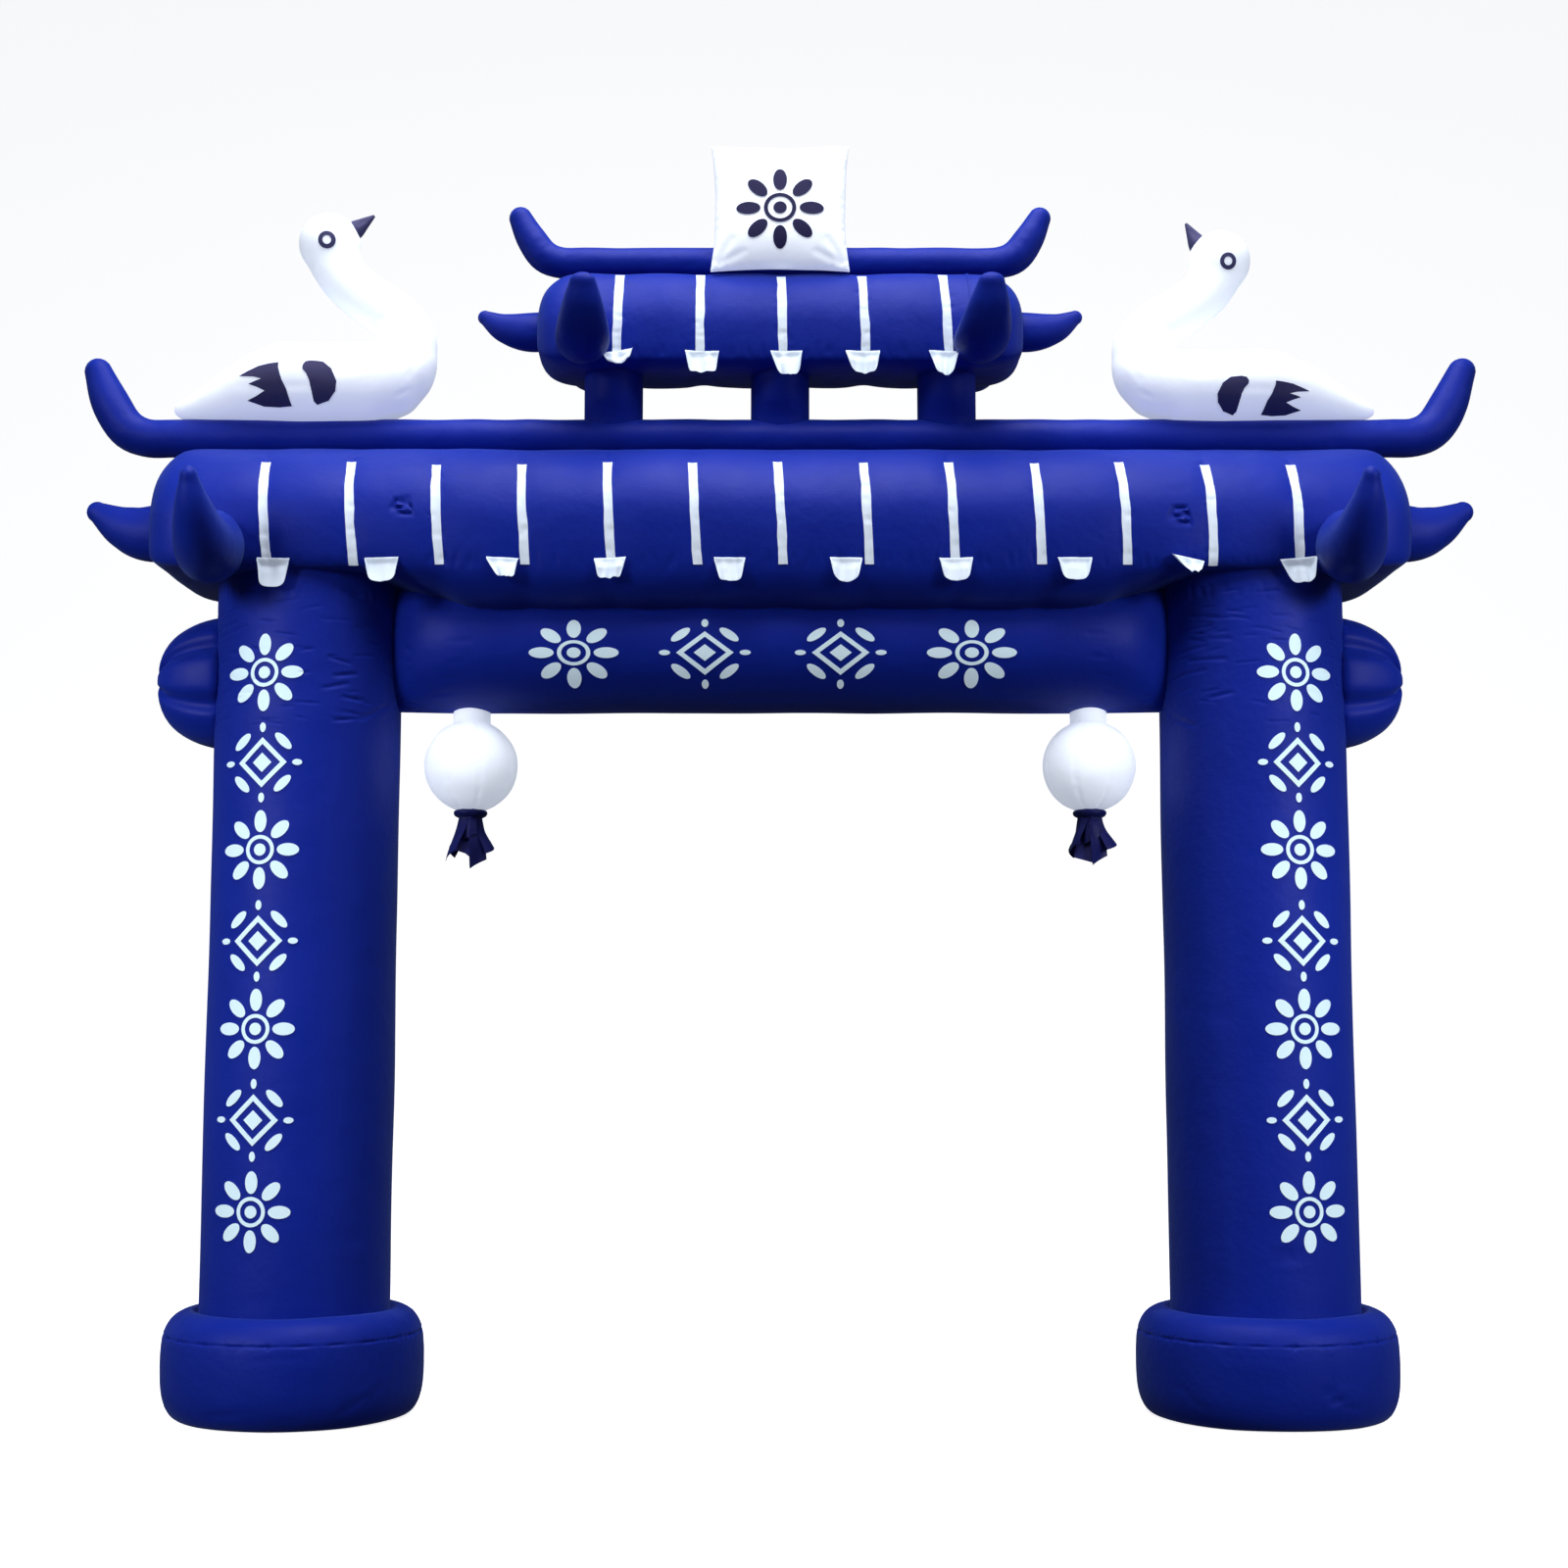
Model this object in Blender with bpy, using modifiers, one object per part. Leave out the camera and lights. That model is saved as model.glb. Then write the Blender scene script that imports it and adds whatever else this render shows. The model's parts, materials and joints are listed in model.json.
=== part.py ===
"""Inflatable gate: two air-filled columns, a lintel and two tiers of quilted roof.

Metres, +Z up. The gate stands on Z = 0, spans along X and faces -Y. The origin is
on the ground, midway between the two columns.
"""

import bmesh
import bpy
from collections import namedtuple
from math import acos, cos, pi, radians, sin, sqrt
from mathutils import Matrix, Vector

# Clearances between neighbouring pieces
SEAM_GAP = 0.0005
STRIP_GAP = 0.0004
CLOTH_THICKNESS = 0.002

# Columns and their round bases
COLUMN_X = 2.083
COLUMN_RADIUS = 0.403
COLUMN_TOP = 3.76
COLUMN_STEPS = 32
BASE_RADIUS = 0.55
BASE_FOOT_RADIUS = 0.485
BASE_SHOULDER = 0.30
BASE_TOP = 0.44
BASE_SEAT = 0.425
BASE_FOOT_ROUNDING = 0.11
BASE_COLLAR_WIDTH = 0.02
BASE_COLLAR_STEP = 0.010
BASE_ARC = (0, 30, 60, 90)

# Lintel between the columns and the short arms outside them
LINTEL_RADIUS = 0.30
LINTEL_Z = 3.32
LINTEL_SIDES = 24
LintelStep = namedtuple("LintelStep", "x half_depth")
LINTEL_STEPS = (LintelStep(1.76, 0.08), LintelStep(1.68, 0.13), LintelStep(1.62, 0.21),
                LintelStep(1.52, 0.27), LintelStep(1.34, 0.30))
ARM_Z = 3.155
ARM_HALF_HEIGHT = 0.305
ARM_HALF_DEPTH = 0.21
ARM_SIDES = 24
ARM_GROOVES = (0.145, -0.120)
ARM_GROOVE_HALF_WIDTH = 0.055
ARM_GROOVE_DEPTH = 0.22
ArmStep = namedtuple("ArmStep", "x fullness")
ARM_STEPS = (ArmStep(2.25, 1.0), ArmStep(2.44, 0.98), ArmStep(2.55, 0.90),
             ArmStep(2.64, 0.76), ArmStep(2.71, 0.55), ArmStep(2.745, 0.30))

# Round posts under the small upper roof
POST_X = 0.747
POST_RADIUS = 0.132
POST_SIDES = 18
PostStep = namedtuple("PostStep", "z depth_share")
POST_STEPS = (PostStep(4.66, 1.0), PostStep(4.48, 1.0), PostStep(4.42, 0.90),
              PostStep(4.36, 0.66), PostStep(4.28, 0.50))

# Section shared by both roofs, from the ridge line down to the eave, then under it
Share = namedtuple("Share", "depth height")
SLOPE = (Share(0.0, 1.0), Share(0.28, 0.975), Share(0.54, 0.90), Share(0.78, 0.755),
         Share(0.93, 0.53), Share(1.0, 0.28), Share(0.975, 0.0))
UNDERSIDE = (Share(0.90, 0.42), Share(0.76, 0.14), Share(0.56, 0.0), Share(0.28, 0.0),
             Share(0.0, 0.0))
EAVE_ROW = len(SLOPE) - 1
SECTION_MIDDLE = 0.35
QUILT_CROWN = (0.32, 0.68)

# Rounded roof ends: distance in from the end, and how full the section is there
EndStep = namedtuple("EndStep", "inset fullness")
ROOF_END = (EndStep(0.0, 0.58), EndStep(0.02, 0.74), EndStep(0.06, 0.86),
            EndStep(0.13, 0.945), EndStep(0.24, 0.99))

Roof = namedtuple("Roof", "half_length half_depth top eave bottom pinch strips "
                          "top_pitch foot_pitch top_shift foot_shift strip_width "
                          "strip_row lift")
MAIN_ROOF = Roof(half_length=2.75, half_depth=0.48, top=4.20, eave=3.60, bottom=3.435,
                 pinch=0.022, strips=13, top_pitch=0.3687, foot_pitch=0.3664,
                 top_shift=-0.017, foot_shift=0.0145, strip_width=0.042,
                 strip_row=3, lift=0.155)
UPPER_ROOF = Roof(half_length=1.087, half_depth=0.24, top=5.02, eave=4.575, bottom=4.548,
                  pinch=0.045, strips=5, top_pitch=0.3585, foot_pitch=0.3662,
                  top_shift=0.004, foot_shift=0.013, strip_width=0.042,
                  strip_row=2, lift=0.0)
Station = namedtuple("Station", "top_x foot_x fullness")
LIFT_START_X = 1.25
LIFT_END_X = 1.80

# Ridge tubes with upturned ends
MAIN_RIDGE_Z = 4.265
MAIN_RIDGE_RADIUS = 0.085
MAIN_RIDGE_STRAIGHT = 2.84
MAIN_RIDGE_TIP = (3.065, 4.57)
UPPER_RIDGE_Z = 5.076
UPPER_RIDGE_RADIUS = 0.070
UPPER_RIDGE_STRAIGHT = 0.99
UPPER_RIDGE_TIP = (1.175, 5.285)

# Horns: width along X, and the route in the roof's own plane as (out, Z, radius)
HORN_FLATNESS = 0.80
MAIN_HORN_X = 2.414
MAIN_FRONT_HORN = ((0.40, 3.70, 0.15), (0.54, 3.65, 0.15), (0.68, 3.68, 0.125),
                   (0.80, 3.77, 0.085), (0.87, 3.88, 0.040))
MAIN_END_HORN = ((2.60, 3.86, 0.13), (2.80, 3.83, 0.125), (2.93, 3.86, 0.095),
                 (3.05, 3.93, 0.045))
UPPER_HORN_X = 0.866
UPPER_FRONT_HORN = ((0.12, 4.66, 0.080), (0.27, 4.63, 0.090), (0.40, 4.65, 0.082),
                    (0.50, 4.72, 0.062), (0.56, 4.81, 0.036))
UPPER_END_HORN = ((0.98, 4.77, 0.085), (1.12, 4.755, 0.088), (1.24, 4.775, 0.065),
                  (1.335, 4.825, 0.028))

# White cloth strips down the front, and the drips along the eave
STRIP_SEAM_MARGIN = 0.002
DRIP_HEAD_RISE = 0.030
DRIP_COLUMNS = (-1.0, -0.85, -0.45, 0.0, 0.45, 0.85, 1.0)
DRIP_ROWS = (0.0, 0.40, 1.0)
DRIP_SIDE_LENGTH = 0.58
DRIP_SEAM_GAP = 0.0008
DRIP_STAND_OFF = 0.004
FLAP_THICKNESS = 0.0022
Drip = namedtuple("Drip", "x width drop tilt flare")
MAIN_DRIPS = (
    Drip(-2.158, 0.140, 0.125, 4, 0.010),
    Drip(-1.699, 0.140, 0.105, -5, 0.016),
    Drip(-1.181, 0.128, 0.090, 7, 0.022),
    Drip(-0.725, 0.130, 0.095, -3, 0.014),
    Drip(-0.215, 0.138, 0.120, 5, 0.010),
    Drip(0.278, 0.132, 0.120, -4, 0.012),
    Drip(0.746, 0.138, 0.110, 2, 0.014),
    Drip(1.251, 0.132, 0.100, -3, 0.018),
    Drip(1.728, 0.132, 0.060, 9, 0.028),
    Drip(2.214, 0.132, 0.120, -6, 0.012),
)
UPPER_DRIPS = (
    Drip(-0.706, 0.124, 0.085, 6, 0.022),
    Drip(-0.339, 0.144, 0.115, -3, 0.014),
    Drip(0.034, 0.127, 0.130, 5, 0.018),
    Drip(0.372, 0.142, 0.120, -2, 0.012),
    Drip(0.724, 0.118, 0.130, 5, 0.024),
)

# Square pillow that stands on the upper ridge
PILLOW_Y = -0.125
PILLOW_Z = 5.285
PILLOW_WIDTH = 0.625
PILLOW_HEIGHT = 0.585
PILLOW_THICKNESS = 0.20
PILLOW_DRAWN_IN = 0.075
PILLOW_CELLS = 10
PILLOW_CROWN = 0.42
PILLOW_SIDE_PULL = 1.6

# Swans: body rings from breast to tail, in metres from the breast and the ridge top
BodyRing = namedtuple("BodyRing", "back centre half_height half_width")
SWAN_BODY = (
    BodyRing(0.000, 0.270, 0.045, 0.05), BodyRing(0.035, 0.245, 0.105, 0.11),
    BodyRing(0.120, 0.195, 0.155, 0.17), BodyRing(0.260, 0.165, 0.182, 0.22),
    BodyRing(0.700, 0.163, 0.182, 0.25),
    BodyRing(0.860, 0.130, 0.145, 0.20), BodyRing(0.980, 0.085, 0.100, 0.14),
    BodyRing(1.090, 0.052, 0.060, 0.08), BodyRing(1.180, 0.040, 0.026, 0.03),
)
NeckPoint = namedtuple("NeckPoint", "back height radius")
SWAN_NECK = (
    NeckPoint(0.200, 0.190, 0.125), NeckPoint(0.150, 0.275, 0.142),
    NeckPoint(0.142, 0.385, 0.136), NeckPoint(0.205, 0.482, 0.120),
    NeckPoint(0.318, 0.562, 0.114), NeckPoint(0.415, 0.645, 0.112),
    NeckPoint(0.470, 0.735, 0.116),
)
SWAN_HEAD = NeckPoint(0.492, 0.815, 0.140)
SWAN_RIDGE_TOP = 4.350
SWAN_SIDES = 14
Swan = namedtuple("Swan", "side breast_x height_scale beak_tilt")
SWANS = (Swan("left", -1.545, 1.0, 30), Swan("right", 1.494, 0.90, 62))
BEAK_LENGTH = 0.105
BEAK_RADIUS = 0.056
BEAK_TIP_RADIUS = 0.006
BEAK_ROOT_DEPTH = 0.02

# Ball lanterns under the lintel, with a cloth tassel below each
LANTERN_X = 1.362
LANTERN_Z = 2.785
LANTERN_RADIUS = 0.204
LANTERN_NECK_RADIUS = 0.081
LANTERN_NECK_TOP = 3.10
LANTERN_STEPS = 20
TASSEL_KNOT_RADIUS = 0.075
TASSEL_KNOT_STEPS = 12
TASSEL_LAP = 0.012
LOCK_THICKNESS = 0.003
LOCK_ROWS = (0.0, 0.45, 1.0)
Lock = namedtuple("Lock", "bearing width length flare")
TASSEL_LOCKS = {
    "left": (Lock(232, 0.095, 0.185, 0.085), Lock(285, 0.080, 0.180, 0.045),
             Lock(325, 0.085, 0.245, 0.060), Lock(60, 0.080, 0.170, 0.050),
             Lock(135, 0.075, 0.200, 0.055)),
    "right": (Lock(215, 0.070, 0.170, 0.075), Lock(262, 0.085, 0.235, 0.040),
              Lock(310, 0.080, 0.185, 0.070), Lock(45, 0.080, 0.190, 0.050),
              Lock(130, 0.075, 0.175, 0.055)),
}

# Cloth colours, linear
BLUE = (0.016, 0.045, 0.280, 1.0)
WHITE = (0.80, 0.84, 0.92, 1.0)
SLATE = (0.045, 0.045, 0.120, 1.0)


def clear_scene():
    """Remove every object the file opened with."""
    for obj in list(bpy.data.objects):
        bpy.data.objects.remove(obj, do_unlink=True)


def new_collection(name):
    """Make a collection and link it to the scene."""
    coll = bpy.data.collections.new(name)
    bpy.context.scene.collection.children.link(coll)
    return coll


def cloth(name, colour, roughness):
    """Make a woven polyester material."""
    mat = bpy.data.materials.new(name)
    mat.use_nodes = True
    shader = mat.node_tree.nodes["Principled BSDF"]
    shader.inputs["Base Color"].default_value = colour
    shader.inputs["Roughness"].default_value = roughness
    shader.inputs["Metallic"].default_value = 0.0
    return mat


def finish(name, mesh, material, smooth_angle=50):
    """Turn a mesh into a named, shaded piece of the gate."""
    bm = bmesh.new()
    bm.from_mesh(mesh)
    bmesh.ops.remove_doubles(bm, verts=bm.verts, dist=0.00002)
    bmesh.ops.recalc_face_normals(bm, faces=bm.faces)
    bmesh.ops.triangulate(bm, faces=bm.faces)
    bm.to_mesh(mesh)
    bm.free()
    mesh.name = name
    mesh.materials.clear()
    mesh.materials.append(material)
    mesh.shade_smooth()
    mesh.set_sharp_from_angle(angle=radians(smooth_angle))
    obj = bpy.data.objects.new(name, mesh)
    gate.objects.link(obj)
    return obj


def evaluated_mesh(obj):
    """Copy an object's mesh with its modifiers worked in, in world space."""
    bpy.context.view_layer.update()
    graph = bpy.context.evaluated_depsgraph_get()
    mesh = bpy.data.meshes.new_from_object(obj.evaluated_get(graph))
    mesh.transform(obj.matrix_world)
    return mesh


def grown_copy(obj, gap=SEAM_GAP):
    """Make a cutter the shape of a piece, larger by the gap on every side."""
    mesh = evaluated_mesh(obj)
    bm = bmesh.new()
    bm.from_mesh(mesh)
    bm.normal_update()
    moves = [vert.normal * gap * vert.calc_shell_factor() for vert in bm.verts]
    for vert, move in zip(bm.verts, moves):
        vert.co += move
    bm.to_mesh(mesh)
    bm.free()
    cutter = bpy.data.objects.new(obj.name + "_cutter", mesh)
    cutter.hide_render = True
    cutter.display_type = "WIRE"
    cutters.objects.link(cutter)
    return cutter


def combine(obj, other, operation):
    """Add a Boolean of one object with another."""
    modifier = obj.modifiers.new(operation.lower() + " " + other.name, "BOOLEAN")
    modifier.operation = operation
    modifier.solver = "EXACT"
    modifier.object = other


def trim(obj, *others):
    """Cut a piece to fit round its neighbours."""
    for other in others:
        combine(obj, other, "DIFFERENCE")


def join_shapes(name, shapes, material):
    """Union overlapping shapes into one closed piece."""
    first = shapes[0]
    for other in shapes[1:]:
        combine(first, other, "UNION")
    mesh = evaluated_mesh(first)
    for shape in shapes:
        bpy.data.objects.remove(shape, do_unlink=True)
    return finish(name, mesh, material)


def loft_mesh(rings):
    """Bridge a row of equal rings and cap both ends."""
    bm = bmesh.new()
    loops = [[bm.verts.new(point) for point in ring] for ring in rings]
    count = len(loops[0])
    for near, far in zip(loops, loops[1:]):
        for k in range(count):
            after = (k + 1) % count
            bm.faces.new((near[k], near[after], far[after], far[k]))
    bm.faces.new(loops[0])
    bm.faces.new(reversed(loops[-1]))
    mesh = bpy.data.meshes.new("loft")
    bm.to_mesh(mesh)
    bm.free()
    return mesh


def turned_mesh(profile, steps):
    """Spin a profile of (radius, height) about the vertical axis."""
    mesh = bpy.data.meshes.new("profile")
    edges = [(k, k + 1) for k in range(len(profile) - 1)]
    mesh.from_pydata([(r, 0.0, z) for r, z in profile], edges, [])
    obj = bpy.data.objects.new("profile", mesh)
    gate.objects.link(obj)
    screw = obj.modifiers.new("turn", "SCREW")
    screw.angle = 2.0 * pi
    screw.steps = steps
    screw.render_steps = steps
    screw.use_merge_vertices = True
    screw.merge_threshold = 0.0001
    spun = evaluated_mesh(obj)
    bpy.data.objects.remove(obj, do_unlink=True)
    return spun


def smooth_route(points, steps):
    """Read a Catmull-Rom curve through tuples of numbers, a few steps a span."""
    rows = [Vector(point) for point in points]
    rows = [2 * rows[0] - rows[1]] + rows + [2 * rows[-1] - rows[-2]]
    route = []
    for a, b, c, d in zip(rows, rows[1:], rows[2:], rows[3:]):
        for step in range(steps):
            t = step / steps
            route.append(0.5 * (2 * b + (c - a) * t + (2 * a - 5 * b + 4 * c - d) * t * t
                                + (3 * b - a - 3 * c + d) * t ** 3))
    route.append(rows[-2])
    return route


def with_round_ends(route, first=True, last=True):
    """Close the ends of a route of (x, y, z, radius) with small domes."""
    closed = list(route)
    ends = []
    if last:
        ends.append((closed[-1], closed[-2], closed.append))
    if first:
        ends.append((closed[0], closed[1], lambda point: closed.insert(0, point)))
    for end, inner, add in ends:
        out = (Vector(end[:3]) - Vector(inner[:3])).normalized()
        for angle in (40, 74):
            centre = Vector(end[:3]) + out * end[3] * sin(radians(angle))
            add(Vector((*centre, end[3] * cos(radians(angle)))))
    return closed


def tube_mesh(route, resolution):
    """Sweep a round tube along a route of (x, y, z, radius)."""
    curve = bpy.data.curves.new("tube", "CURVE")
    curve.dimensions = "3D"
    curve.twist_mode = "MINIMUM"
    curve.bevel_depth = 1.0
    curve.bevel_resolution = resolution
    curve.use_fill_caps = True
    spline = curve.splines.new("POLY")
    spline.points.add(len(route) - 1)
    for point, row in zip(spline.points, route):
        point.co = (row[0], row[1], row[2], 1.0)
        point.radius = row[3]
    obj = bpy.data.objects.new("tube", curve)
    gate.objects.link(obj)
    mesh = evaluated_mesh(obj)
    bpy.data.objects.remove(obj, do_unlink=True)
    return mesh


def strip_x(roof, index, height_share):
    """Centre of a sewn strip, which may lean a little from ridge to eave."""
    count = index - (roof.strips - 1) / 2
    top = roof.top_shift + count * roof.top_pitch
    foot = roof.foot_shift + count * roof.foot_pitch
    return foot + (top - foot) * height_share


def underside_z(roof, x):
    """The underside sags between the columns and lies higher over them."""
    reach = (abs(x) - LIFT_START_X) / (LIFT_END_X - LIFT_START_X)
    reach = min(1.0, max(0.0, reach))
    return roof.bottom + roof.lift * reach * reach * (3.0 - 2.0 * reach)


def roof_point(roof, x, row, fullness, side):
    """One point of the section at x: row 0 is the ridge line, then down and under."""
    if row <= EAVE_ROW:
        share = SLOPE[row]
        z = roof.eave + (roof.top - roof.eave) * share.height
    else:
        share = UNDERSIDE[row - EAVE_ROW - 1]
        low = underside_z(roof, x)
        z = low + (roof.eave - low) * share.height
    middle = roof.eave + (roof.top - roof.eave) * SECTION_MIDDLE
    y = side * roof.half_depth * share.depth * fullness
    return Vector((x, y, middle + (z - middle) * fullness))


def roof_stations(roof):
    """Stations along the roof, each with its x at the ridge and eave and its fullness."""
    middle = []
    half_strip = roof.strip_width / roof.top_pitch / 2
    for index in range(roof.strips):
        middle.append((index - half_strip, 1.0 - roof.pinch))
        middle.append((index + half_strip, 1.0 - roof.pinch))
        if index < roof.strips - 1:
            middle += [(index + crown, 1.0) for crown in QUILT_CROWN]
    stations = [Station(strip_x(roof, index, 1.0), strip_x(roof, index, 0.0), full)
                for index, full in middle]
    for step in reversed(ROOF_END):
        end = roof.half_length - step.inset
        stations.insert(0, Station(-end, -end, step.fullness))
        stations.append(Station(end, end, step.fullness))
    return stations


def station_x(station, row):
    """Where a station crosses a section row."""
    share = SLOPE[row].height if row <= EAVE_ROW else 0.0
    return station.foot_x + (station.top_x - station.foot_x) * share


def roof_rings(roof):
    """Rings of the roof body: rounded ends, with a shallow channel at each strip."""
    rows = len(SLOPE) + len(UNDERSIDE)
    rings = []
    for station in roof_stations(roof):
        points = []
        for side, order in ((-1, range(rows)), (1, range(rows - 2, 0, -1))):
            for row in order:
                x = station_x(station, row)
                points.append(roof_point(roof, x, row, station.fullness, side))
        rings.append(points)
    return rings


def front_surface(roof, x, row):
    """Point on the front face at x on a section row, read between the stations."""
    stations = roof_stations(roof)
    for near, far in zip(stations, stations[1:]):
        x0 = station_x(near, row)
        x1 = station_x(far, row)
        if x0 <= x <= x1:
            start = roof_point(roof, x0, row, near.fullness, -1)
            end = roof_point(roof, x1, row, far.fullness, -1)
            return start.lerp(end, (x - x0) / (x1 - x0))
    raise ValueError("x lies past the roof's end")


def sheet_mesh(rows, thickness):
    """Close a grid of points into a thin sheet that thickens toward -Y."""
    mesh = bpy.data.meshes.new("sheet")
    wide = len(rows[0])
    faces = []
    for r in range(len(rows) - 1):
        for c in range(wide - 1):
            corner = r * wide + c
            faces.append((corner, corner + wide, corner + wide + 1, corner + 1))
    mesh.from_pydata([point for row in rows for point in row], [], faces)
    obj = bpy.data.objects.new("sheet", mesh)
    gate.objects.link(obj)
    solid = obj.modifiers.new("thickness", "SOLIDIFY")
    solid.thickness = thickness
    solid.offset = 1.0
    solid.use_even_offset = True
    thick = evaluated_mesh(obj)
    bpy.data.objects.remove(obj, do_unlink=True)
    return thick


def section_normal(roof, x, row):
    """Outward direction of the front face on a section row, mitred at the row."""
    here = front_surface(roof, x, row)
    above = front_surface(roof, x, row - 1)
    below = front_surface(roof, x, row + 1)
    spans = [(here - above), (below - here)]
    faces = [Vector((0.0, span.z, -span.y)).normalized() for span in spans]
    mitre = (faces[0] + faces[1]).normalized()
    return mitre / max(0.5, mitre.dot(faces[0]))


def strip_rows(roof, index):
    """Grid of a narrow sewn strip that lies on the roof's front face."""
    rows = []
    half = roof.strip_width / 2 - STRIP_SEAM_MARGIN
    for row in range(roof.strip_row, EAVE_ROW + 1):
        centre = strip_x(roof, index, SLOPE[row].height)
        line = []
        for offset in (-half, half):
            point = front_surface(roof, centre + offset, row)
            line.append(point + section_normal(roof, centre, row) * STRIP_GAP)
        rows.append(line)
    return rows


def drip_rows(roof, drip):
    """Grid of a U-shaped cloth drip sewn along the eave and hanging free below."""
    tilt = Matrix.Rotation(radians(drip.tilt), 3, "Y")
    head = Vector((drip.x, 0.0, roof.eave + DRIP_HEAD_RISE))
    rows = []
    for t in DRIP_ROWS:
        line = []
        for c in DRIP_COLUMNS:
            bow = sqrt(1.0 - c * c)
            length = drip.drop * (DRIP_SIDE_LENGTH + (1.0 - DRIP_SIDE_LENGTH) * bow)
            flat = Vector((c * drip.width / 2, 0.0, -t * length))
            place = head + tilt @ flat
            eave = front_surface(roof, place.x, EAVE_ROW)
            above = front_surface(roof, place.x, EAVE_ROW - 1)
            rise = max(0.0, (place.z - eave.z) / (above.z - eave.z))
            on_face = eave.lerp(above, rise)
            clearance = DRIP_SEAM_GAP + DRIP_STAND_OFF * min(1.0, 3.0 * t) + drip.flare * t * t
            line.append(Vector((place.x, on_face.y - clearance, place.z)))
        rows.append(line)
    return rows


def make_columns():
    """Round bases and the columns that stand in their shallow seats."""
    arc = [radians(angle) for angle in BASE_ARC]
    seat_radius = COLUMN_RADIUS + SEAM_GAP
    collar_radius = seat_radius + BASE_COLLAR_WIDTH
    collar_top = BASE_TOP + BASE_COLLAR_STEP
    shoulder = [(collar_radius + (BASE_RADIUS - collar_radius) * sin(a),
                 BASE_SHOULDER + (collar_top - BASE_SHOULDER) * cos(a)) for a in arc]
    foot = [(BASE_FOOT_RADIUS + (BASE_RADIUS - BASE_FOOT_RADIUS) * cos(a),
             BASE_FOOT_ROUNDING * (1.0 - sin(a))) for a in arc]
    base_profile = [(0.0, BASE_SEAT), (seat_radius, BASE_SEAT), (seat_radius, BASE_TOP)]
    base_profile += shoulder + foot + [(0.0, 0.0)]
    column_profile = [(0.0, COLUMN_TOP), (COLUMN_RADIUS, COLUMN_TOP),
                      (COLUMN_RADIUS, BASE_SEAT + SEAM_GAP), (0.0, BASE_SEAT + SEAM_GAP)]
    columns = {}
    for side, sign in (("left", -1), ("right", 1)):
        place = Matrix.Translation((sign * COLUMN_X, 0.0, 0.0))
        base = turned_mesh(base_profile, COLUMN_STEPS)
        base.transform(place)
        finish(side + "_base", base, blue)
        column = turned_mesh(column_profile, COLUMN_STEPS)
        column.transform(place)
        columns[side] = finish(side + "_column", column, blue)
    return columns


def oval_ring(x, half_depth, half_height, z, sides):
    """Upright oval of points at x."""
    ring = []
    for k in range(sides):
        angle = 2 * pi * k / sides
        ring.append(Vector((x, half_depth * cos(angle), z + half_height * sin(angle))))
    return ring


def make_lintel(column_cutters):
    """Level tube between the columns, drawn in from front to back at each end."""
    steps = [LintelStep(-step.x, step.half_depth) for step in LINTEL_STEPS]
    steps += reversed(LINTEL_STEPS)
    rings = [oval_ring(step.x, step.half_depth, LINTEL_RADIUS, LINTEL_Z, LINTEL_SIDES)
             for step in steps]
    lintel = finish("lintel", loft_mesh(rings), blue)
    cutter = grown_copy(lintel)
    trim(lintel, *column_cutters.values())
    return cutter


def make_arms(column_cutters):
    """Short arms outside the columns, with a round end and two pinched seams."""
    for side, sign in (("left", -1), ("right", 1)):
        rings = []
        for step in ARM_STEPS:
            ring = oval_ring(sign * step.x, 1.0, 1.0, 0.0, ARM_SIDES)
            for point in ring:
                height = point.z * ARM_HALF_HEIGHT
                groove = max(0.0, *[1.0 - abs(height - seam) / ARM_GROOVE_HALF_WIDTH
                                    for seam in ARM_GROOVES])
                point.y *= ARM_HALF_DEPTH * step.fullness * (1.0 - ARM_GROOVE_DEPTH * groove)
                point.z = ARM_Z + point.z * ARM_HALF_HEIGHT * step.fullness
            rings.append(ring)
        arm = finish(side + "_arm", loft_mesh(rings), blue)
        trim(arm, column_cutters[side])


def make_roof(name, roof):
    """Quilted roof body."""
    return finish(name, loft_mesh(roof_rings(roof)), blue, smooth_angle=65)


def make_ridge(name, z, radius, straight, tip):
    """Level ridge tube with both ends turned up."""
    tip_x, tip_z = tip
    rise = tip_z - z
    bend = [(straight, z, radius),
            (straight + 0.42 * (tip_x - straight), z + 0.15 * rise, radius * 1.04),
            (straight + 0.74 * (tip_x - straight), z + 0.55 * rise, radius * 0.98),
            (tip_x, tip_z, radius * 0.72)]
    right = smooth_route([(x, 0.0, h, r) for x, h, r in bend], 2)
    left = [Vector((-p[0], p[1], p[2], p[3])) for p in reversed(right)]
    return finish(name, tube_mesh(with_round_ends(left + right), 4), blue)


def make_horns(prefix, horn_x, front_route, end_route, roof_cutter):
    """Curved horns: a pair at the front, a pair at the back and one at each end."""
    for side, sign in (("left", -1), ("right", 1)):
        for face, turn in (("front", -1), ("rear", 1)):
            route = smooth_route([(0.0, turn * out, z, r) for out, z, r in front_route], 2)
            mesh = tube_mesh(with_round_ends(route, first=False), 3)
            for vert in mesh.vertices:
                vert.co.x = sign * horn_x + vert.co.x * HORN_FLATNESS
            trim(finish(prefix + "_" + face + "_horn_" + side, mesh, blue), roof_cutter)
        route = smooth_route([(sign * out, 0.0, z, r) for out, z, r in end_route], 2)
        mesh = tube_mesh(with_round_ends(route, first=False), 3)
        for vert in mesh.vertices:
            vert.co.y *= HORN_FLATNESS
        trim(finish(prefix + "_end_horn_" + side, mesh, blue), roof_cutter)


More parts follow.
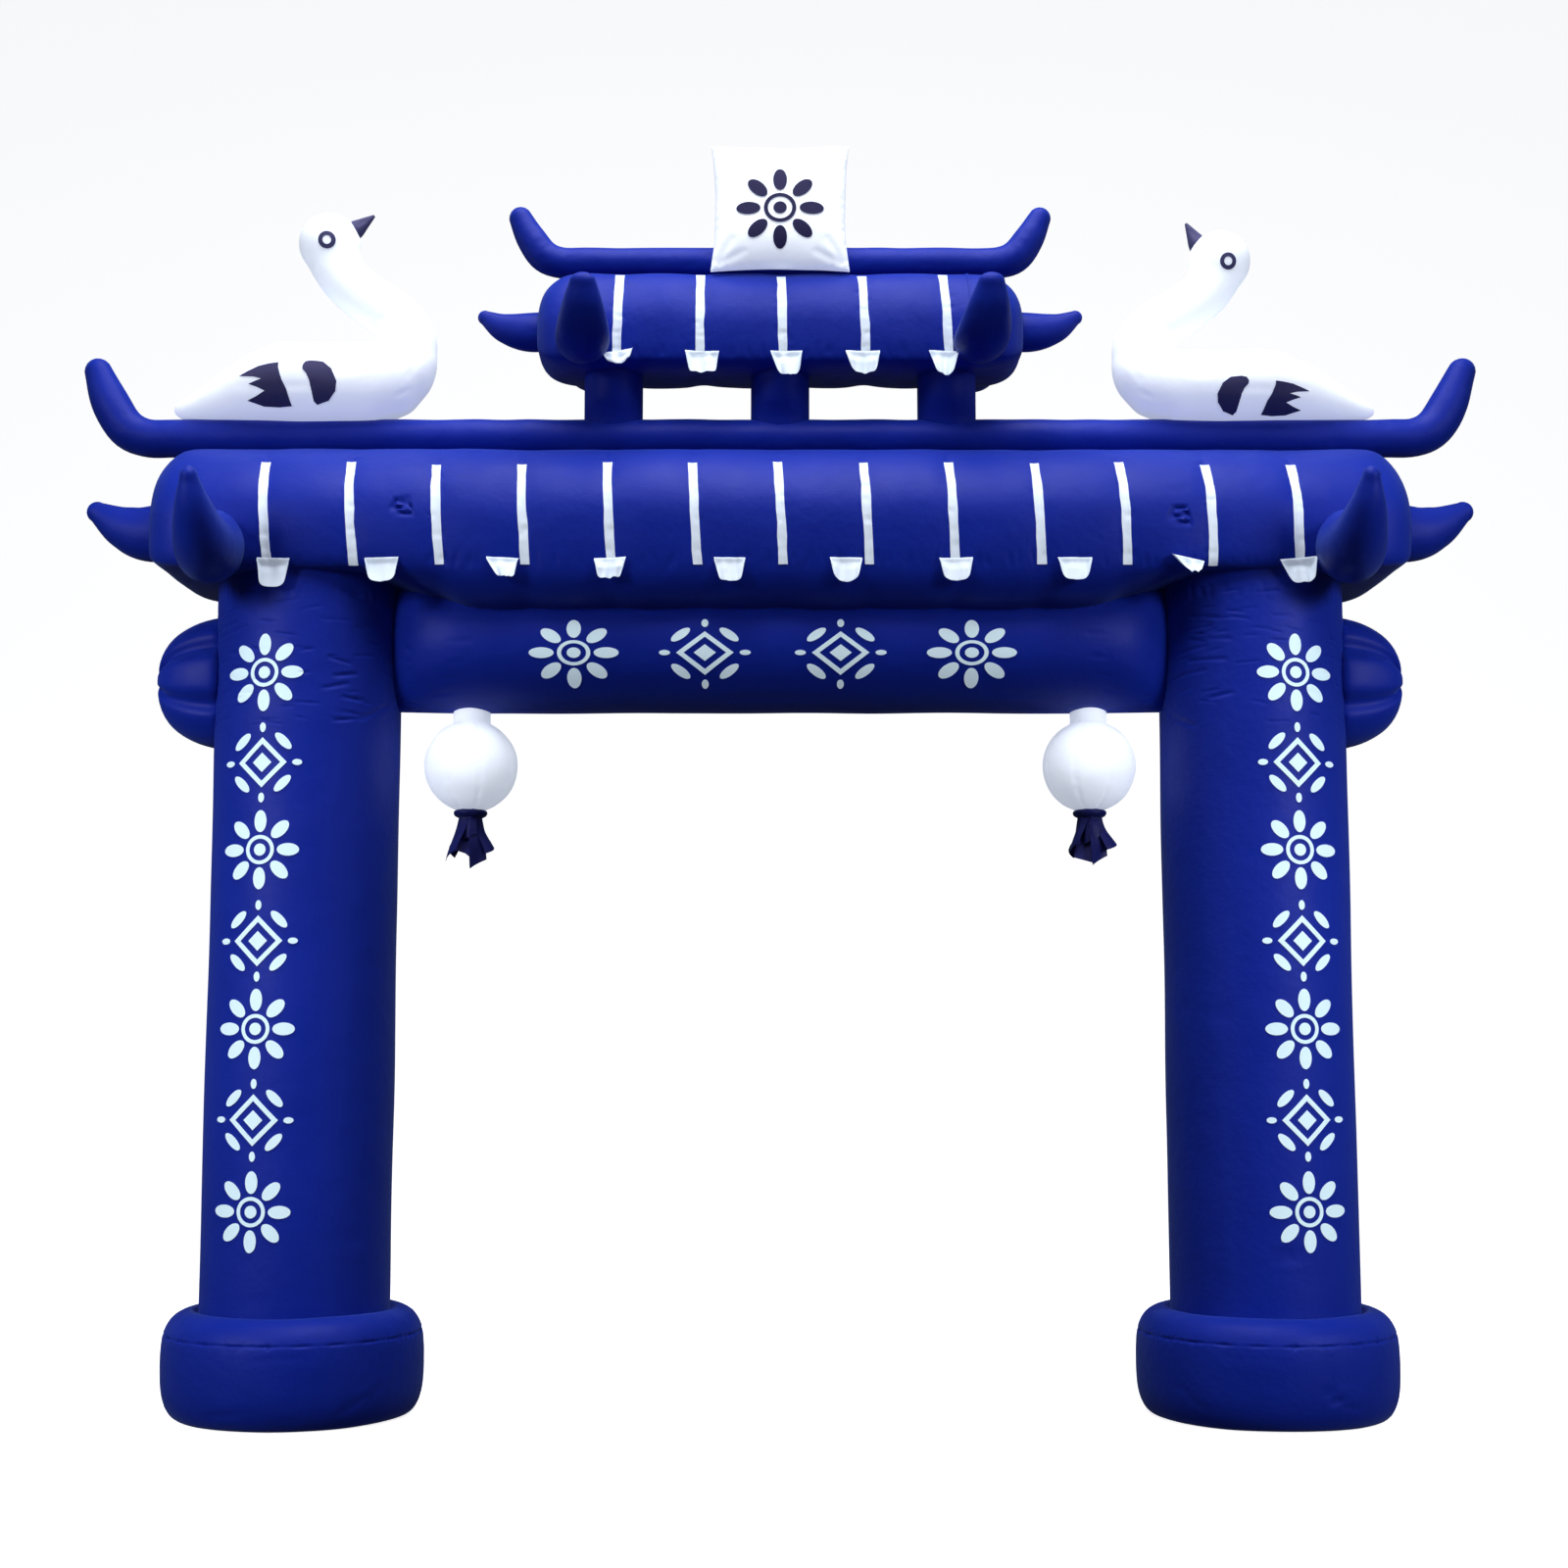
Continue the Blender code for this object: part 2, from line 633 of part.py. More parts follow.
def make_posts(ridge_cutter, roof_cutter):
    """Three short posts, gathered from front to back where they meet the main ridge."""
    post_cutters = []
    for name, x in (("post_left", -POST_X), ("post_middle", 0.0), ("post_right", POST_X)):
        rings = []
        for step in POST_STEPS:
            ring = []
            for k in range(POST_SIDES):
                angle = 2 * pi * k / POST_SIDES
                ring.append(Vector((x + POST_RADIUS * cos(angle),
                                    POST_RADIUS * step.depth_share * sin(angle), step.z)))
            rings.append(ring)
        post = finish(name, loft_mesh(rings), blue)
        post_cutters.append(grown_copy(post))
        trim(post, ridge_cutter, roof_cutter)
    return post_cutters


def make_strips_and_drips(prefix, roof, drips):
    """White strips sewn down the front face, and the drips along the eave."""
    taken = {}
    loose = []
    for drip in drips:
        nearest = min(range(roof.strips), key=lambda i: abs(strip_x(roof, i, 0.0) - drip.x))
        if abs(strip_x(roof, nearest, 0.0) - drip.x) < roof.strip_width:
            taken[nearest] = drip
        else:
            loose.append(drip)
    for index in range(roof.strips):
        strip = sheet_mesh(strip_rows(roof, index), CLOTH_THICKNESS)
        name = "%s_strip_%02d" % (prefix, index + 1)
        if index in taken:
            band = finish(name + "_band", strip, white)
            flap = sheet_mesh(drip_rows(roof, taken[index]), FLAP_THICKNESS)
            join_shapes(name, [band, finish(name + "_flap", flap, white)], white)
        else:
            finish(name, strip, white)
    for count, drip in enumerate(loose):
        name = "%s_drip_%02d" % (prefix, count + 1)
        finish(name, sheet_mesh(drip_rows(roof, drip), CLOTH_THICKNESS), white)


def make_pillow(*neighbour_cutters):
    """Square air pillow with a crown and drawn-in sides."""
    bm = bmesh.new()
    for face in (-1, 1):
        grid = bmesh.ops.create_grid(bm, x_segments=PILLOW_CELLS, y_segments=PILLOW_CELLS,
                                     size=1.0)
        for vert in grid["verts"]:
            u = sin(vert.co.x * pi / 2)
            v = sin(vert.co.y * pi / 2)
            swell = ((1.0 - u * u) * (1.0 - v * v)) ** PILLOW_CROWN
            side_pull = PILLOW_DRAWN_IN * PILLOW_SIDE_PULL * (1.0 - v * v)
            x = u * PILLOW_WIDTH / 2 * (1.0 - side_pull)
            z = v * PILLOW_HEIGHT / 2 * (1.0 - PILLOW_DRAWN_IN * (1.0 - u * u))
            y = face * PILLOW_THICKNESS / 2 * swell
            vert.co = (x, PILLOW_Y + y, PILLOW_Z + z)
    mesh = bpy.data.meshes.new("pillow")
    bm.to_mesh(mesh)
    bm.free()
    trim(finish("pillow", mesh, white), *neighbour_cutters)


def make_swan(swan, ridge_cutter, roof_cutter):
    """One white swan on the main ridge, with a dark beak."""
    inward = -1 if swan.breast_x > 0 else 1

    def place(back, height):
        return swan.breast_x - inward * back, SWAN_RIDGE_TOP + height * swan.height_scale

    rings = []
    for ring in SWAN_BODY:
        x, z = place(ring.back, ring.centre)
        points = []
        for k in range(SWAN_SIDES):
            a = 2 * pi * k / SWAN_SIDES
            points.append(Vector((x, ring.half_width * cos(a),
                                  z + ring.half_height * swan.height_scale * sin(a))))
        rings.append(points)
    body = finish(swan.side + "_body", loft_mesh(rings), white)

    route = []
    for point in SWAN_NECK:
        x, z = place(point.back, point.height)
        route.append((x, 0.0, z, point.radius))
    neck = finish(swan.side + "_neck", tube_mesh(smooth_route(route, 1), 4), white)

    head_x, head_z = place(SWAN_HEAD.back, SWAN_HEAD.height)
    bpy.ops.mesh.primitive_uv_sphere_add(segments=14, ring_count=9, radius=SWAN_HEAD.radius,
                                         location=(head_x, 0.0, head_z))
    ball = bpy.context.object
    head_mesh = evaluated_mesh(ball)
    bpy.data.objects.remove(ball, do_unlink=True)
    head = finish(swan.side + "_head", head_mesh, white)
    bird = join_shapes("swan_" + swan.side, [body, neck, head], white)
    bird_cutter = grown_copy(bird)
    trim(bird, ridge_cutter, roof_cutter)

    rise = radians(swan.beak_tilt)
    aim = Vector((inward * cos(rise), 0.0, sin(rise)))
    root = Vector((head_x, 0.0, head_z)) + aim * (SWAN_HEAD.radius - BEAK_ROOT_DEPTH)
    taper = ((0.0, BEAK_RADIUS), (0.55, BEAK_RADIUS * 0.5), (1.0, BEAK_TIP_RADIUS))
    route = [Vector((*(root + aim * share * (BEAK_LENGTH + BEAK_ROOT_DEPTH)), radius))
             for share, radius in taper]
    trim(finish("beak_" + swan.side, tube_mesh(route, 4), slate), bird_cutter)


def make_lantern(side, x, lintel_cutter):
    """Ball lantern turned with its neck, and the cloth tassel tied below it."""
    neck_angle = acos(LANTERN_NECK_RADIUS / LANTERN_RADIUS)
    profile = [(0.0, LANTERN_NECK_TOP), (LANTERN_NECK_RADIUS, LANTERN_NECK_TOP)]
    for k in range(9):
        angle = neck_angle - k / 9 * (neck_angle + pi / 2)
        profile.append((LANTERN_RADIUS * cos(angle), LANTERN_Z + LANTERN_RADIUS * sin(angle)))
    profile.append((0.0, LANTERN_Z - LANTERN_RADIUS))
    globe_mesh = turned_mesh(profile, LANTERN_STEPS)
    globe_mesh.transform(Matrix.Translation((x, 0.0, 0.0)))
    globe = finish("lantern_" + side, globe_mesh, white)
    globe_cutter = grown_copy(globe)
    trim(globe, lintel_cutter)

    knot_z = LANTERN_Z - LANTERN_RADIUS + TASSEL_LAP
    knot_profile = [(0.0, knot_z + 0.02), (0.050, knot_z + 0.02), (TASSEL_KNOT_RADIUS, knot_z),
                    (TASSEL_KNOT_RADIUS - 0.012, knot_z - 0.03), (0.0, knot_z - 0.045)]
    knot_mesh = turned_mesh(knot_profile, TASSEL_KNOT_STEPS)
    knot_mesh.transform(Matrix.Translation((x, 0.0, 0.0)))
    shapes = [finish("knot_" + side, knot_mesh, blue)]
    for count, lock in enumerate(TASSEL_LOCKS[side]):
        rows = []
        for share in LOCK_ROWS:
            out = TASSEL_KNOT_RADIUS - 0.020 + lock.flare * share ** 1.4
            half = lock.width / 2 * (0.62 + 0.38 * share)
            drop = knot_z - 0.006 - lock.length * share
            rows.append([Vector((offset, -out + 0.15 * abs(offset), drop + 0.12 * offset))
                         for offset in (-half, 0.0, half)])
        mesh = sheet_mesh(rows, LOCK_THICKNESS)
        turn = Matrix.Rotation(radians(lock.bearing - 270), 4, "Z")
        mesh.transform(Matrix.Translation((x, 0.0, 0.0)) @ turn)
        shapes.append(finish("lock_%s_%d" % (side, count), mesh, blue))
    tassel = join_shapes("tassel_" + side, shapes, blue)
    trim(tassel, globe_cutter)


clear_scene()
gate = new_collection("inflatable_arch")
cutters = new_collection("cutters")
blue = cloth("blue_cloth", BLUE, 0.62)
white = cloth("white_cloth", WHITE, 0.60)
slate = cloth("slate_cloth", SLATE, 0.60)

columns = make_columns()
column_cutters = {side: grown_copy(column) for side, column in columns.items()}
lintel_cutter = make_lintel(column_cutters)
make_arms(column_cutters)

main_roof = make_roof("main_roof", MAIN_ROOF)
main_roof_cutter = grown_copy(main_roof)
main_ridge = make_ridge("main_ridge", MAIN_RIDGE_Z, MAIN_RIDGE_RADIUS, MAIN_RIDGE_STRAIGHT,
                        MAIN_RIDGE_TIP)
main_ridge_cutter = grown_copy(main_ridge)
trim(main_roof, *column_cutters.values(), lintel_cutter, main_ridge_cutter)
make_horns("main", MAIN_HORN_X, MAIN_FRONT_HORN, MAIN_END_HORN, main_roof_cutter)

post_cutters = make_posts(main_ridge_cutter, main_roof_cutter)
upper_roof = make_roof("upper_roof", UPPER_ROOF)
upper_roof_cutter = grown_copy(upper_roof)
upper_ridge = make_ridge("upper_ridge", UPPER_RIDGE_Z, UPPER_RIDGE_RADIUS,
                         UPPER_RIDGE_STRAIGHT, UPPER_RIDGE_TIP)
upper_ridge_cutter = grown_copy(upper_ridge)
trim(upper_roof, *post_cutters, upper_ridge_cutter)
make_horns("upper", UPPER_HORN_X, UPPER_FRONT_HORN, UPPER_END_HORN, upper_roof_cutter)

make_strips_and_drips("main", MAIN_ROOF, MAIN_DRIPS)
make_strips_and_drips("upper", UPPER_ROOF, UPPER_DRIPS)
make_pillow(upper_roof_cutter, upper_ridge_cutter)
for swan in SWANS:
    make_swan(swan, main_ridge_cutter, main_roof_cutter)
for side, x in (("left", -LANTERN_X), ("right", LANTERN_X)):
    make_lantern(side, x, lintel_cutter)
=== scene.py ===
# %% [markdown]
# # An air-filled festival gate
#
# The real gate is sewn from coated polyester and kept up by a fan. Every part of it is a
# bag of air: two columns on wide round bases, a lintel, two quilted roofs with upturned
# horns, two swans, a pillow and two ball lanterns.
#
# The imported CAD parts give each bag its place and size. This lesson makes the cloth: its
# swell, seams, puckers, strips and weave. Each step says what the real piece is, how it
# could be made, and why this way was chosen.

import bmesh
import bpy
import json
import numpy as np
from collections import namedtuple
from contextlib import contextmanager
from math import cos, pi, radians, sin
from mathutils import Matrix, Vector, noise

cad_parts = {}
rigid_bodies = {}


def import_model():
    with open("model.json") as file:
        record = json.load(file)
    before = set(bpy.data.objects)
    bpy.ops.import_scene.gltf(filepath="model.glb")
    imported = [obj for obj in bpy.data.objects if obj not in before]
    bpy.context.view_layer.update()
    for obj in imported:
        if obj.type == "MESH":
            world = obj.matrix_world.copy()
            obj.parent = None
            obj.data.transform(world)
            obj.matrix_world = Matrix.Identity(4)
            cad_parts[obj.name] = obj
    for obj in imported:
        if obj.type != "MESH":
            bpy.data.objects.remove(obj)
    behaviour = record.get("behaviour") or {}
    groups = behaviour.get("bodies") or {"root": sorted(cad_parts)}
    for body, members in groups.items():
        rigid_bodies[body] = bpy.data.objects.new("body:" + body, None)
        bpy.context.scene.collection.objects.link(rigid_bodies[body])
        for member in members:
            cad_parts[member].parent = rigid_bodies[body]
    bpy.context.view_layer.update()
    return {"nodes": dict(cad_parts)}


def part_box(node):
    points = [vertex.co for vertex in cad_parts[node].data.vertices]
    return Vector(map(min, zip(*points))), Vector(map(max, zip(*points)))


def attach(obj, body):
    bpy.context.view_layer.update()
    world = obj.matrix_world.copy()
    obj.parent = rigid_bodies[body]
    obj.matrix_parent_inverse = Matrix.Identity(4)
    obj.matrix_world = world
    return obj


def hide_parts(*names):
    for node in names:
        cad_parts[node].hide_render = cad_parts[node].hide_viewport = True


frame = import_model()
print("CAD nodes:", len(frame["nodes"]))

# %% [markdown]
# ## Working habits
#
# Operators act on whatever is selected, so everything is deselected first. These few
# helpers pick one object, open it for editing, apply a modifier to it, merge its doubled
# points, turn its faces outwards, and join or copy objects.

# %% Helpers for selecting and applying
def clear_selection():
    """Leave edit mode and deselect everything."""
    if bpy.context.object and bpy.context.object.mode != "OBJECT":
        bpy.ops.object.mode_set(mode="OBJECT")
    bpy.ops.object.select_all(action="DESELECT")


def pick(obj):
    """Make one object the only selected one."""
    clear_selection()
    obj.select_set(True)
    bpy.context.view_layer.objects.active = obj
    return obj


def apply_modifier(obj, kind, **settings):
    """Add a modifier with its settings and apply it."""
    pick(obj)
    modifier = obj.modifiers.new(kind.lower(), kind)
    for key, value in settings.items():
        setattr(modifier, key, value)
    bpy.ops.object.modifier_apply(modifier=modifier.name)


MERGE_DISTANCE = 0.0002


@contextmanager
def editing(obj, chosen="SELECT"):
    """Open an object for editing with all or none of it selected, and close it after."""
    pick(obj)
    bpy.ops.object.mode_set(mode="EDIT")
    bpy.ops.mesh.select_all(action=chosen)
    yield
    bpy.ops.object.mode_set(mode="OBJECT")


def close_up(obj):
    """Merge doubled points and turn every face outwards."""
    with editing(obj):
        bpy.ops.mesh.remove_doubles(threshold=MERGE_DISTANCE)
        bpy.ops.mesh.normals_make_consistent(inside=False)
        if bmesh.from_edit_mesh(obj.data).calc_volume(signed=True) < 0:
            bpy.ops.mesh.flip_normals()


def finer(obj, boxes, cuts):
    """Cut the faces inside any of the boxes smaller, so that they can hold creases."""
    with editing(obj, "DESELECT"):
        bpy.ops.mesh.select_mode(type="FACE")
        shell = bmesh.from_edit_mesh(obj.data)
        for face in shell.faces:
            middle = face.calc_center_median()
            face.select = any(all(low[k] < middle[k] < high[k] for k in range(3))
                              for low, high in boxes)
        bpy.ops.mesh.subdivide(number_cuts=cuts, smoothness=1.0)
        bpy.ops.mesh.select_mode(type="VERT")


def joined(parts, name):
    """Join objects into the first of them."""
    pick(parts[0])
    for part in parts[1:]:
        part.select_set(True)
    if len(parts) > 1:
        bpy.ops.object.join()
    parts[0].name = name
    return parts[0]


def copy_of(obj, name):
    """Copy an object together with its mesh."""
    twin = obj.copy()
    twin.data = obj.data.copy()
    twin.name = name
    bpy.context.scene.collection.objects.link(twin)
    return twin


print("Helpers are ready")

# %% [markdown]
# ## Colours
#
# Colours are read off as sRGB hex values, but shaders work in linear light. One function
# turns the one into the other.

# %% Hex colours to linear
def linear(code):
    """Turn a hex colour such as 1A2B3C into linear red, green, blue and alpha."""
    channels = [int(code[k:k + 2], 16) / 255 for k in (0, 2, 4)]
    return tuple([c / 12.92 if c <= 0.04045 else ((c + 0.055) / 1.055) ** 2.4
                  for c in channels] + [1.0])


def add_node(material, kind, inputs=None, **settings):
    """Add one node. An input is a value, or another node's output to link."""
    node = material.node_tree.nodes.new(kind)
    for key, value in settings.items():
        setattr(node, key, value)
    for socket, value in (inputs or {}).items():
        if isinstance(value, bpy.types.NodeSocket):
            material.node_tree.links.new(value, node.inputs[socket])
        else:
            node.inputs[socket].default_value = value
    return node


def set_inputs(shader, values):
    """Set plain numbers and colours on a shader's own sockets."""
    for socket, value in values.items():
        shader.inputs[socket].default_value = value


print("Blue of the cloth in linear light:", [round(c, 3) for c in linear("0A259C")])

# %% [markdown]
# ## Coated polyester cloth
#
# The gate is sewn from 210-denier oxford polyester with a thin coating inside that holds
# the air. It is plain woven, so fine threads cross at right angles. Light slides over it
# softly, with no sharp reflections: the index of refraction is polyester's, 1.54, but the
# specular level is low, because the threads scatter most of the light. The fibres add a
# faint sheen that leans to pale blue. Thin white cloth also lets daylight through from
# inside the bag, and a faint glow of its own, which is painted light, stands in for that:
# it lightens the shaded sides of the white and ice blue cloth.
#
# The real threads are 0.4 mm apart, too fine to show on a gate 6 m long, so they are
# drawn 7 mm apart. A slow noise gives the small dents that air pressure never pulls out,
# and another shifts the colour, because dyed cloth is never quite even.

# %% A woven cloth material
DRAWN_THREAD = 0.007
WAVE_SCALE = 2 * pi / (20 * DRAWN_THREAD)


def woven_polyester(name, light, deep, roughness, sheen, dents=0.30, painted_glow=0.0):
    """Make coated woven polyester between two colours; its glow is painted light on the shaded
    side.
    """
    cloth = bpy.data.materials.new(name)
    cloth.use_nodes = True
    shader = cloth.node_tree.nodes["Principled BSDF"]
    # the emission is painted light: a glow that lightens the shaded side of pale cloth
    set_inputs(shader, {"IOR": 1.54, "Specular IOR Level": 0.10, "Sheen Weight": sheen,
                        "Sheen Roughness": 0.50, "Sheen Tint": linear("9CC0FF"),
                        "Emission Color": linear("E6EFFF"), "Emission Strength": painted_glow})
    place = add_node(cloth, "ShaderNodeTexCoord")

    warp, weft = [add_node(cloth, "ShaderNodeTexWave", {"Vector": place.outputs["UV"],
                           "Scale": WAVE_SCALE}, bands_direction=way) for way in "XY"]
    weave = add_node(cloth, "ShaderNodeMath", {0: warp.outputs["Fac"],
                     1: weft.outputs["Fac"]}, operation="MULTIPLY")
    soft = add_node(cloth, "ShaderNodeTexNoise", {"Vector": place.outputs["Object"],
                    "Scale": 7.0, "Detail": 4.0, "Roughness": 0.55})
    dented = add_node(cloth, "ShaderNodeBump", {"Height": soft.outputs["Fac"],
                      "Strength": dents, "Distance": 0.020})
    threaded = add_node(cloth, "ShaderNodeBump", {"Height": weave.outputs[0],
                        "Normal": dented.outputs["Normal"], "Strength": 0.16,
                        "Distance": 0.0012})
    cloth.node_tree.links.new(threaded.outputs["Normal"], shader.inputs["Normal"])

    drift = add_node(cloth, "ShaderNodeTexNoise", {"Vector": place.outputs["Object"],
                     "Scale": 1.6, "Detail": 3.0})
    dye = add_node(cloth, "ShaderNodeMix", {0: drift.outputs["Fac"], 6: linear(deep),
                   7: linear(light)}, data_type="RGBA")
    cloth.node_tree.links.new(dye.outputs[2], shader.inputs["Base Color"])
    worn = add_node(cloth, "ShaderNodeMapRange", {"Value": soft.outputs["Fac"],
                    "From Min": 0.3, "From Max": 0.7, "To Min": roughness - 0.05,
                    "To Max": roughness + 0.06})
    cloth.node_tree.links.new(worn.outputs["Result"], shader.inputs["Roughness"])
    return cloth


# deep blue of every bag of the gate
blue_polyester = woven_polyester("blue_oxford_polyester", "0A259C", "081D85", 0.50, 0.13)
# bright white of the swans, the pillow and the lanterns, with a painted glow that lightens their
# shaded sides
white_polyester = woven_polyester("white_oxford_polyester", "E9EEF6", "DFE6F2", 0.55, 0.05,
                                  dents=0.18, painted_glow=0.48)
# cooler, greyer white of the strips and flaps: painted shade, because they lie in more shade,
# with a fainter painted glow
shaded_tape_polyester = woven_polyester("shaded_white_polyester_tape", "D3DEEB", "C2D1E2", 0.55, 0.05,
                                 dents=0.10, painted_glow=0.22)
# darker blue of the loose ribbons
navy_polyester = woven_polyester("navy_polyester_ribbon", "15175C", "0C0E40", 0.50, 0.10,
                                 dents=0.20)
# pale ice blue of the ornaments on blue cloth, with a painted glow that lightens their shaded
# sides
ice_polyester = woven_polyester("ice_blue_polyester_applique", "CFEAF4", "C0E0EE", 0.55, 0.05,
                                dents=0.10, painted_glow=0.22)
# dull violet of beaks, eyes and feathers
slate_polyester = woven_polyester("slate_violet_polyester", "4A4870", "3A3862", 0.55, 0.15,
                                  dents=0.12)
# near black of the ornament on the pillow
ink_polyester = woven_polyester("ink_blue_polyester_applique", "2E2B52", "25224A", 0.55, 0.12,
                                dents=0.10)
print("Cloths:", [m.name for m in bpy.data.materials if "polyester" in m.name])

# %% [markdown]
# ## Handing a finished piece to the frame
#
# Every piece rides on the gate's one body and hides any CAD node it stands for. Its threads
# are laid with a cube projection at one metre to the UV unit, which keeps the weave the
# same size on every piece.

# %% Finish a piece
Slot = namedtuple("Slot", "name cloth")
BLUE = Slot("blue_cloth", blue_polyester)
WHITE = Slot("white_cloth", white_polyester)
SLATE = Slot("slate_cloth", slate_polyester)
# the strips and flaps wear the white cloth in painted shade
SHADED_TAPE = Slot("white_cloth", shaded_tape_polyester)
NAVY = Slot("blue_cloth", navy_polyester)
ICE = Slot("white_cloth", ice_polyester)
INK = Slot("slate_cloth", ink_polyester)


def hand_over(piece, slot, nodes=(), smooth=60):
    """Lay the threads, give the cloth, and ride on the frame."""
    with editing(piece):
        bpy.ops.uv.cube_project(cube_size=1.0)
    bpy.ops.object.shade_smooth_by_angle(angle=radians(smooth))
    piece.data.materials.clear()
    piece.data.materials.append(slot.cloth)
    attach(piece, "root")
    if nodes:
        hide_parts(*nodes)
    return piece


print("Slots:", sorted({slot.name for slot in (BLUE, WHITE, SLATE, SHADED_TAPE, NAVY, ICE, INK)}))

# %% [markdown]
# ## Creases, seams and puckers
#
# A crease in taut cloth is a soft trough between two low shoulders, deepest in its middle
# and fading at both ends. Sculpting brushes need a window, so each crease is a line with
# a width and a depth, and the points near it are moved along their normals. A negative
# depth raises a ridge.
#
# A sewn seam draws the cloth in, and short puckers cross it. They are never even, so a
# seeded random list sets how long, deep and slanted each one is.

# %% Press creases into a skin
Crease = namedtuple("Crease", "start end width depth")


def skin_points(obj):
    """Read an object's points as an array."""
    points = np.empty(len(obj.data.vertices) * 3)
    obj.data.vertices.foreach_get("co", points)
    return points.reshape(-1, 3)


def skin_normals(obj):
    """Read the direction that each point faces."""
    normals = np.empty(len(obj.data.vertices) * 3)
    obj.data.vertex_normals.foreach_get("vector", normals)
    return normals.reshape(-1, 3)


def press_creases(obj, creases):
    """Press soft troughs along the given lines."""
    points = skin_points(obj)
    normals = skin_normals(obj)
    moved = points.copy()
    for crease in creases:
        start = np.array(crease.start)
        run = np.array(crease.end) - start
        reach = 2.5 * crease.width
        low = start + np.minimum(run, 0) - reach
        high = start + np.maximum(run, 0) + reach
        near = np.where(np.all((points > low) & (points < high), axis=1))[0]
        if len(near) == 0:
            continue
        offset = points[near] - start
        along = np.clip(offset @ run / (run @ run), 0, 1)
        away = np.linalg.norm(offset - along[:, None] * run, axis=1) / crease.width
        fade = np.sqrt(np.clip(4 * along * (1 - along), 0, 1))
        trough = (1 - 0.7 * away ** 2) * np.exp(-away ** 2)
        moved[near] -= normals[near] * (crease.depth * fade * trough)[:, None]
    obj.data.vertices.foreach_set("co", moved.ravel())
    obj.data.update()


def puckers(path, across, spacing, length, width, depth, seed):
    """Short creases across a seam, uneven in length, depth and slant."""
    rng = np.random.default_rng(seed)
    path = [np.array(point, dtype=float) for point in path]
    creases = []
    for k, (a, b) in enumerate(zip(path, path[1:])):
        span = b - a
        count = max(1, int(np.linalg.norm(span) / spacing))
        over = np.array(across[k] if isinstance(across, list) else across, dtype=float)
        for step in range(count):
            place = a + span * (step + rng.uniform(0.1, 0.9)) / count
            slant = span / np.linalg.norm(span) * rng.uniform(-0.35, 0.35)
            half = (over + slant) * length * rng.uniform(0.35, 1.0)
            shift = over * length * rng.uniform(-0.3, 0.3)
            creases.append(Crease(place + shift - half, place + shift + half,
                                  width * rng.uniform(0.7, 1.2),
                                  depth * rng.uniform(0.3, 1.0)))
    return creases


def seam(path, width, depth):
    """A line of stitching that draws the cloth in along a path."""
    path = [np.array(point, dtype=float) for point in path]
    return [Crease(a - 0.35 * (b - a), b + 0.35 * (b - a), width, depth * 0.75)
            for a, b in zip(path, path[1:])]


def swell(obj, amount, size):
    """Let the skin rise and sink a little over patches of the given size."""
    points = skin_points(obj)
    normals = skin_normals(obj)
    lift = np.array([noise.noise(Vector(point) / size) for point in points]) * amount
    obj.data.vertices.foreach_set("co", (points + normals * lift[:, None]).ravel())
    obj.data.update()


print("Crease tools are ready")

# %% [markdown]
# ## Round bases
#
# Each base is a low drum of cloth with a round shoulder and a softer edge at the ground.
# Drums come from half an outline spun round an upright axis. The outline starts as one
# point that is extruded from place to place.

# %% Spin an outline into a drum
def turned(name, outline, steps, x):
    """Extrude a half outline point by point, then spin it about an upright axis at x."""
    clear_selection()
    bpy.ops.mesh.primitive_plane_add(size=0.01)
    obj = bpy.context.object
    obj.name = name
    places = [Vector((x + radius, 0.0, height)) for radius, height in outline]
    with editing(obj):
        bpy.ops.mesh.merge(type="CENTER")
        bpy.ops.transform.translate(value=places[0])
        for here, there in zip(places, places[1:]):
            bpy.ops.mesh.extrude_region_move(TRANSFORM_OT_translate={"value": there - here})
        bpy.ops.mesh.select_all(action="SELECT")
        bpy.ops.mesh.spin(steps=steps, angle=2 * pi, center=(x, 0, 0), axis=(0, 0, 1))
    close_up(obj)
    return obj


def smooth_line(points, count):
    """Read a smooth curve through points, at even steps along its length."""
    rows = [np.array(point, dtype=float) for point in points]
    rows = [2 * rows[0] - rows[1]] + rows + [2 * rows[-1] - rows[-2]]
    fine = []
    for a, b, c, d in zip(rows, rows[1:], rows[2:], rows[3:]):
        for t in np.linspace(0, 1, 24, endpoint=False):
            fine.append(0.5 * (2 * b + (c - a) * t + (2 * a - 5 * b + 4 * c - d) * t * t
                               + (3 * b - a - 3 * c + d) * t ** 3))
    fine.append(rows[-2])
    fine = np.array(fine)
    walked = np.concatenate([[0], np.cumsum(np.linalg.norm(np.diff(fine, axis=0), axis=1))])
    stops = np.linspace(0, walked[-1], count)
    return [tuple(np.interp(stop, walked, fine[:, k]) for k in range(fine.shape[1]))
            for stop in stops]


COLUMN_X = 2.083
COLUMN_RADIUS = 0.403
BASE_OUTLINE = ((0.407, 0.430), (0.432, 0.449), (0.470, 0.443), (0.512, 0.415),
                (0.541, 0.362), (0.551, 0.290), (0.552, 0.200), (0.547, 0.115),
                (0.531, 0.052), (0.503, 0.012), (0.470, 0.001))
BASE_SEAM = (0.5435, 0.350)

inner = [(0.0, 0.427), (0.20, 0.427), (0.395, 0.427)]
outer = smooth_line(BASE_OUTLINE, 64)
left_base = turned("left_round_base", inner + outer + [(0.25, 0.001), (0.0, 0.001)], 144,
                   -COLUMN_X)
right_base = copy_of(left_base, "right_round_base")
right_base.data.transform(Matrix.Translation((2 * COLUMN_X, 0, 0)))
print("Points in a base:", len(left_base.data.vertices))

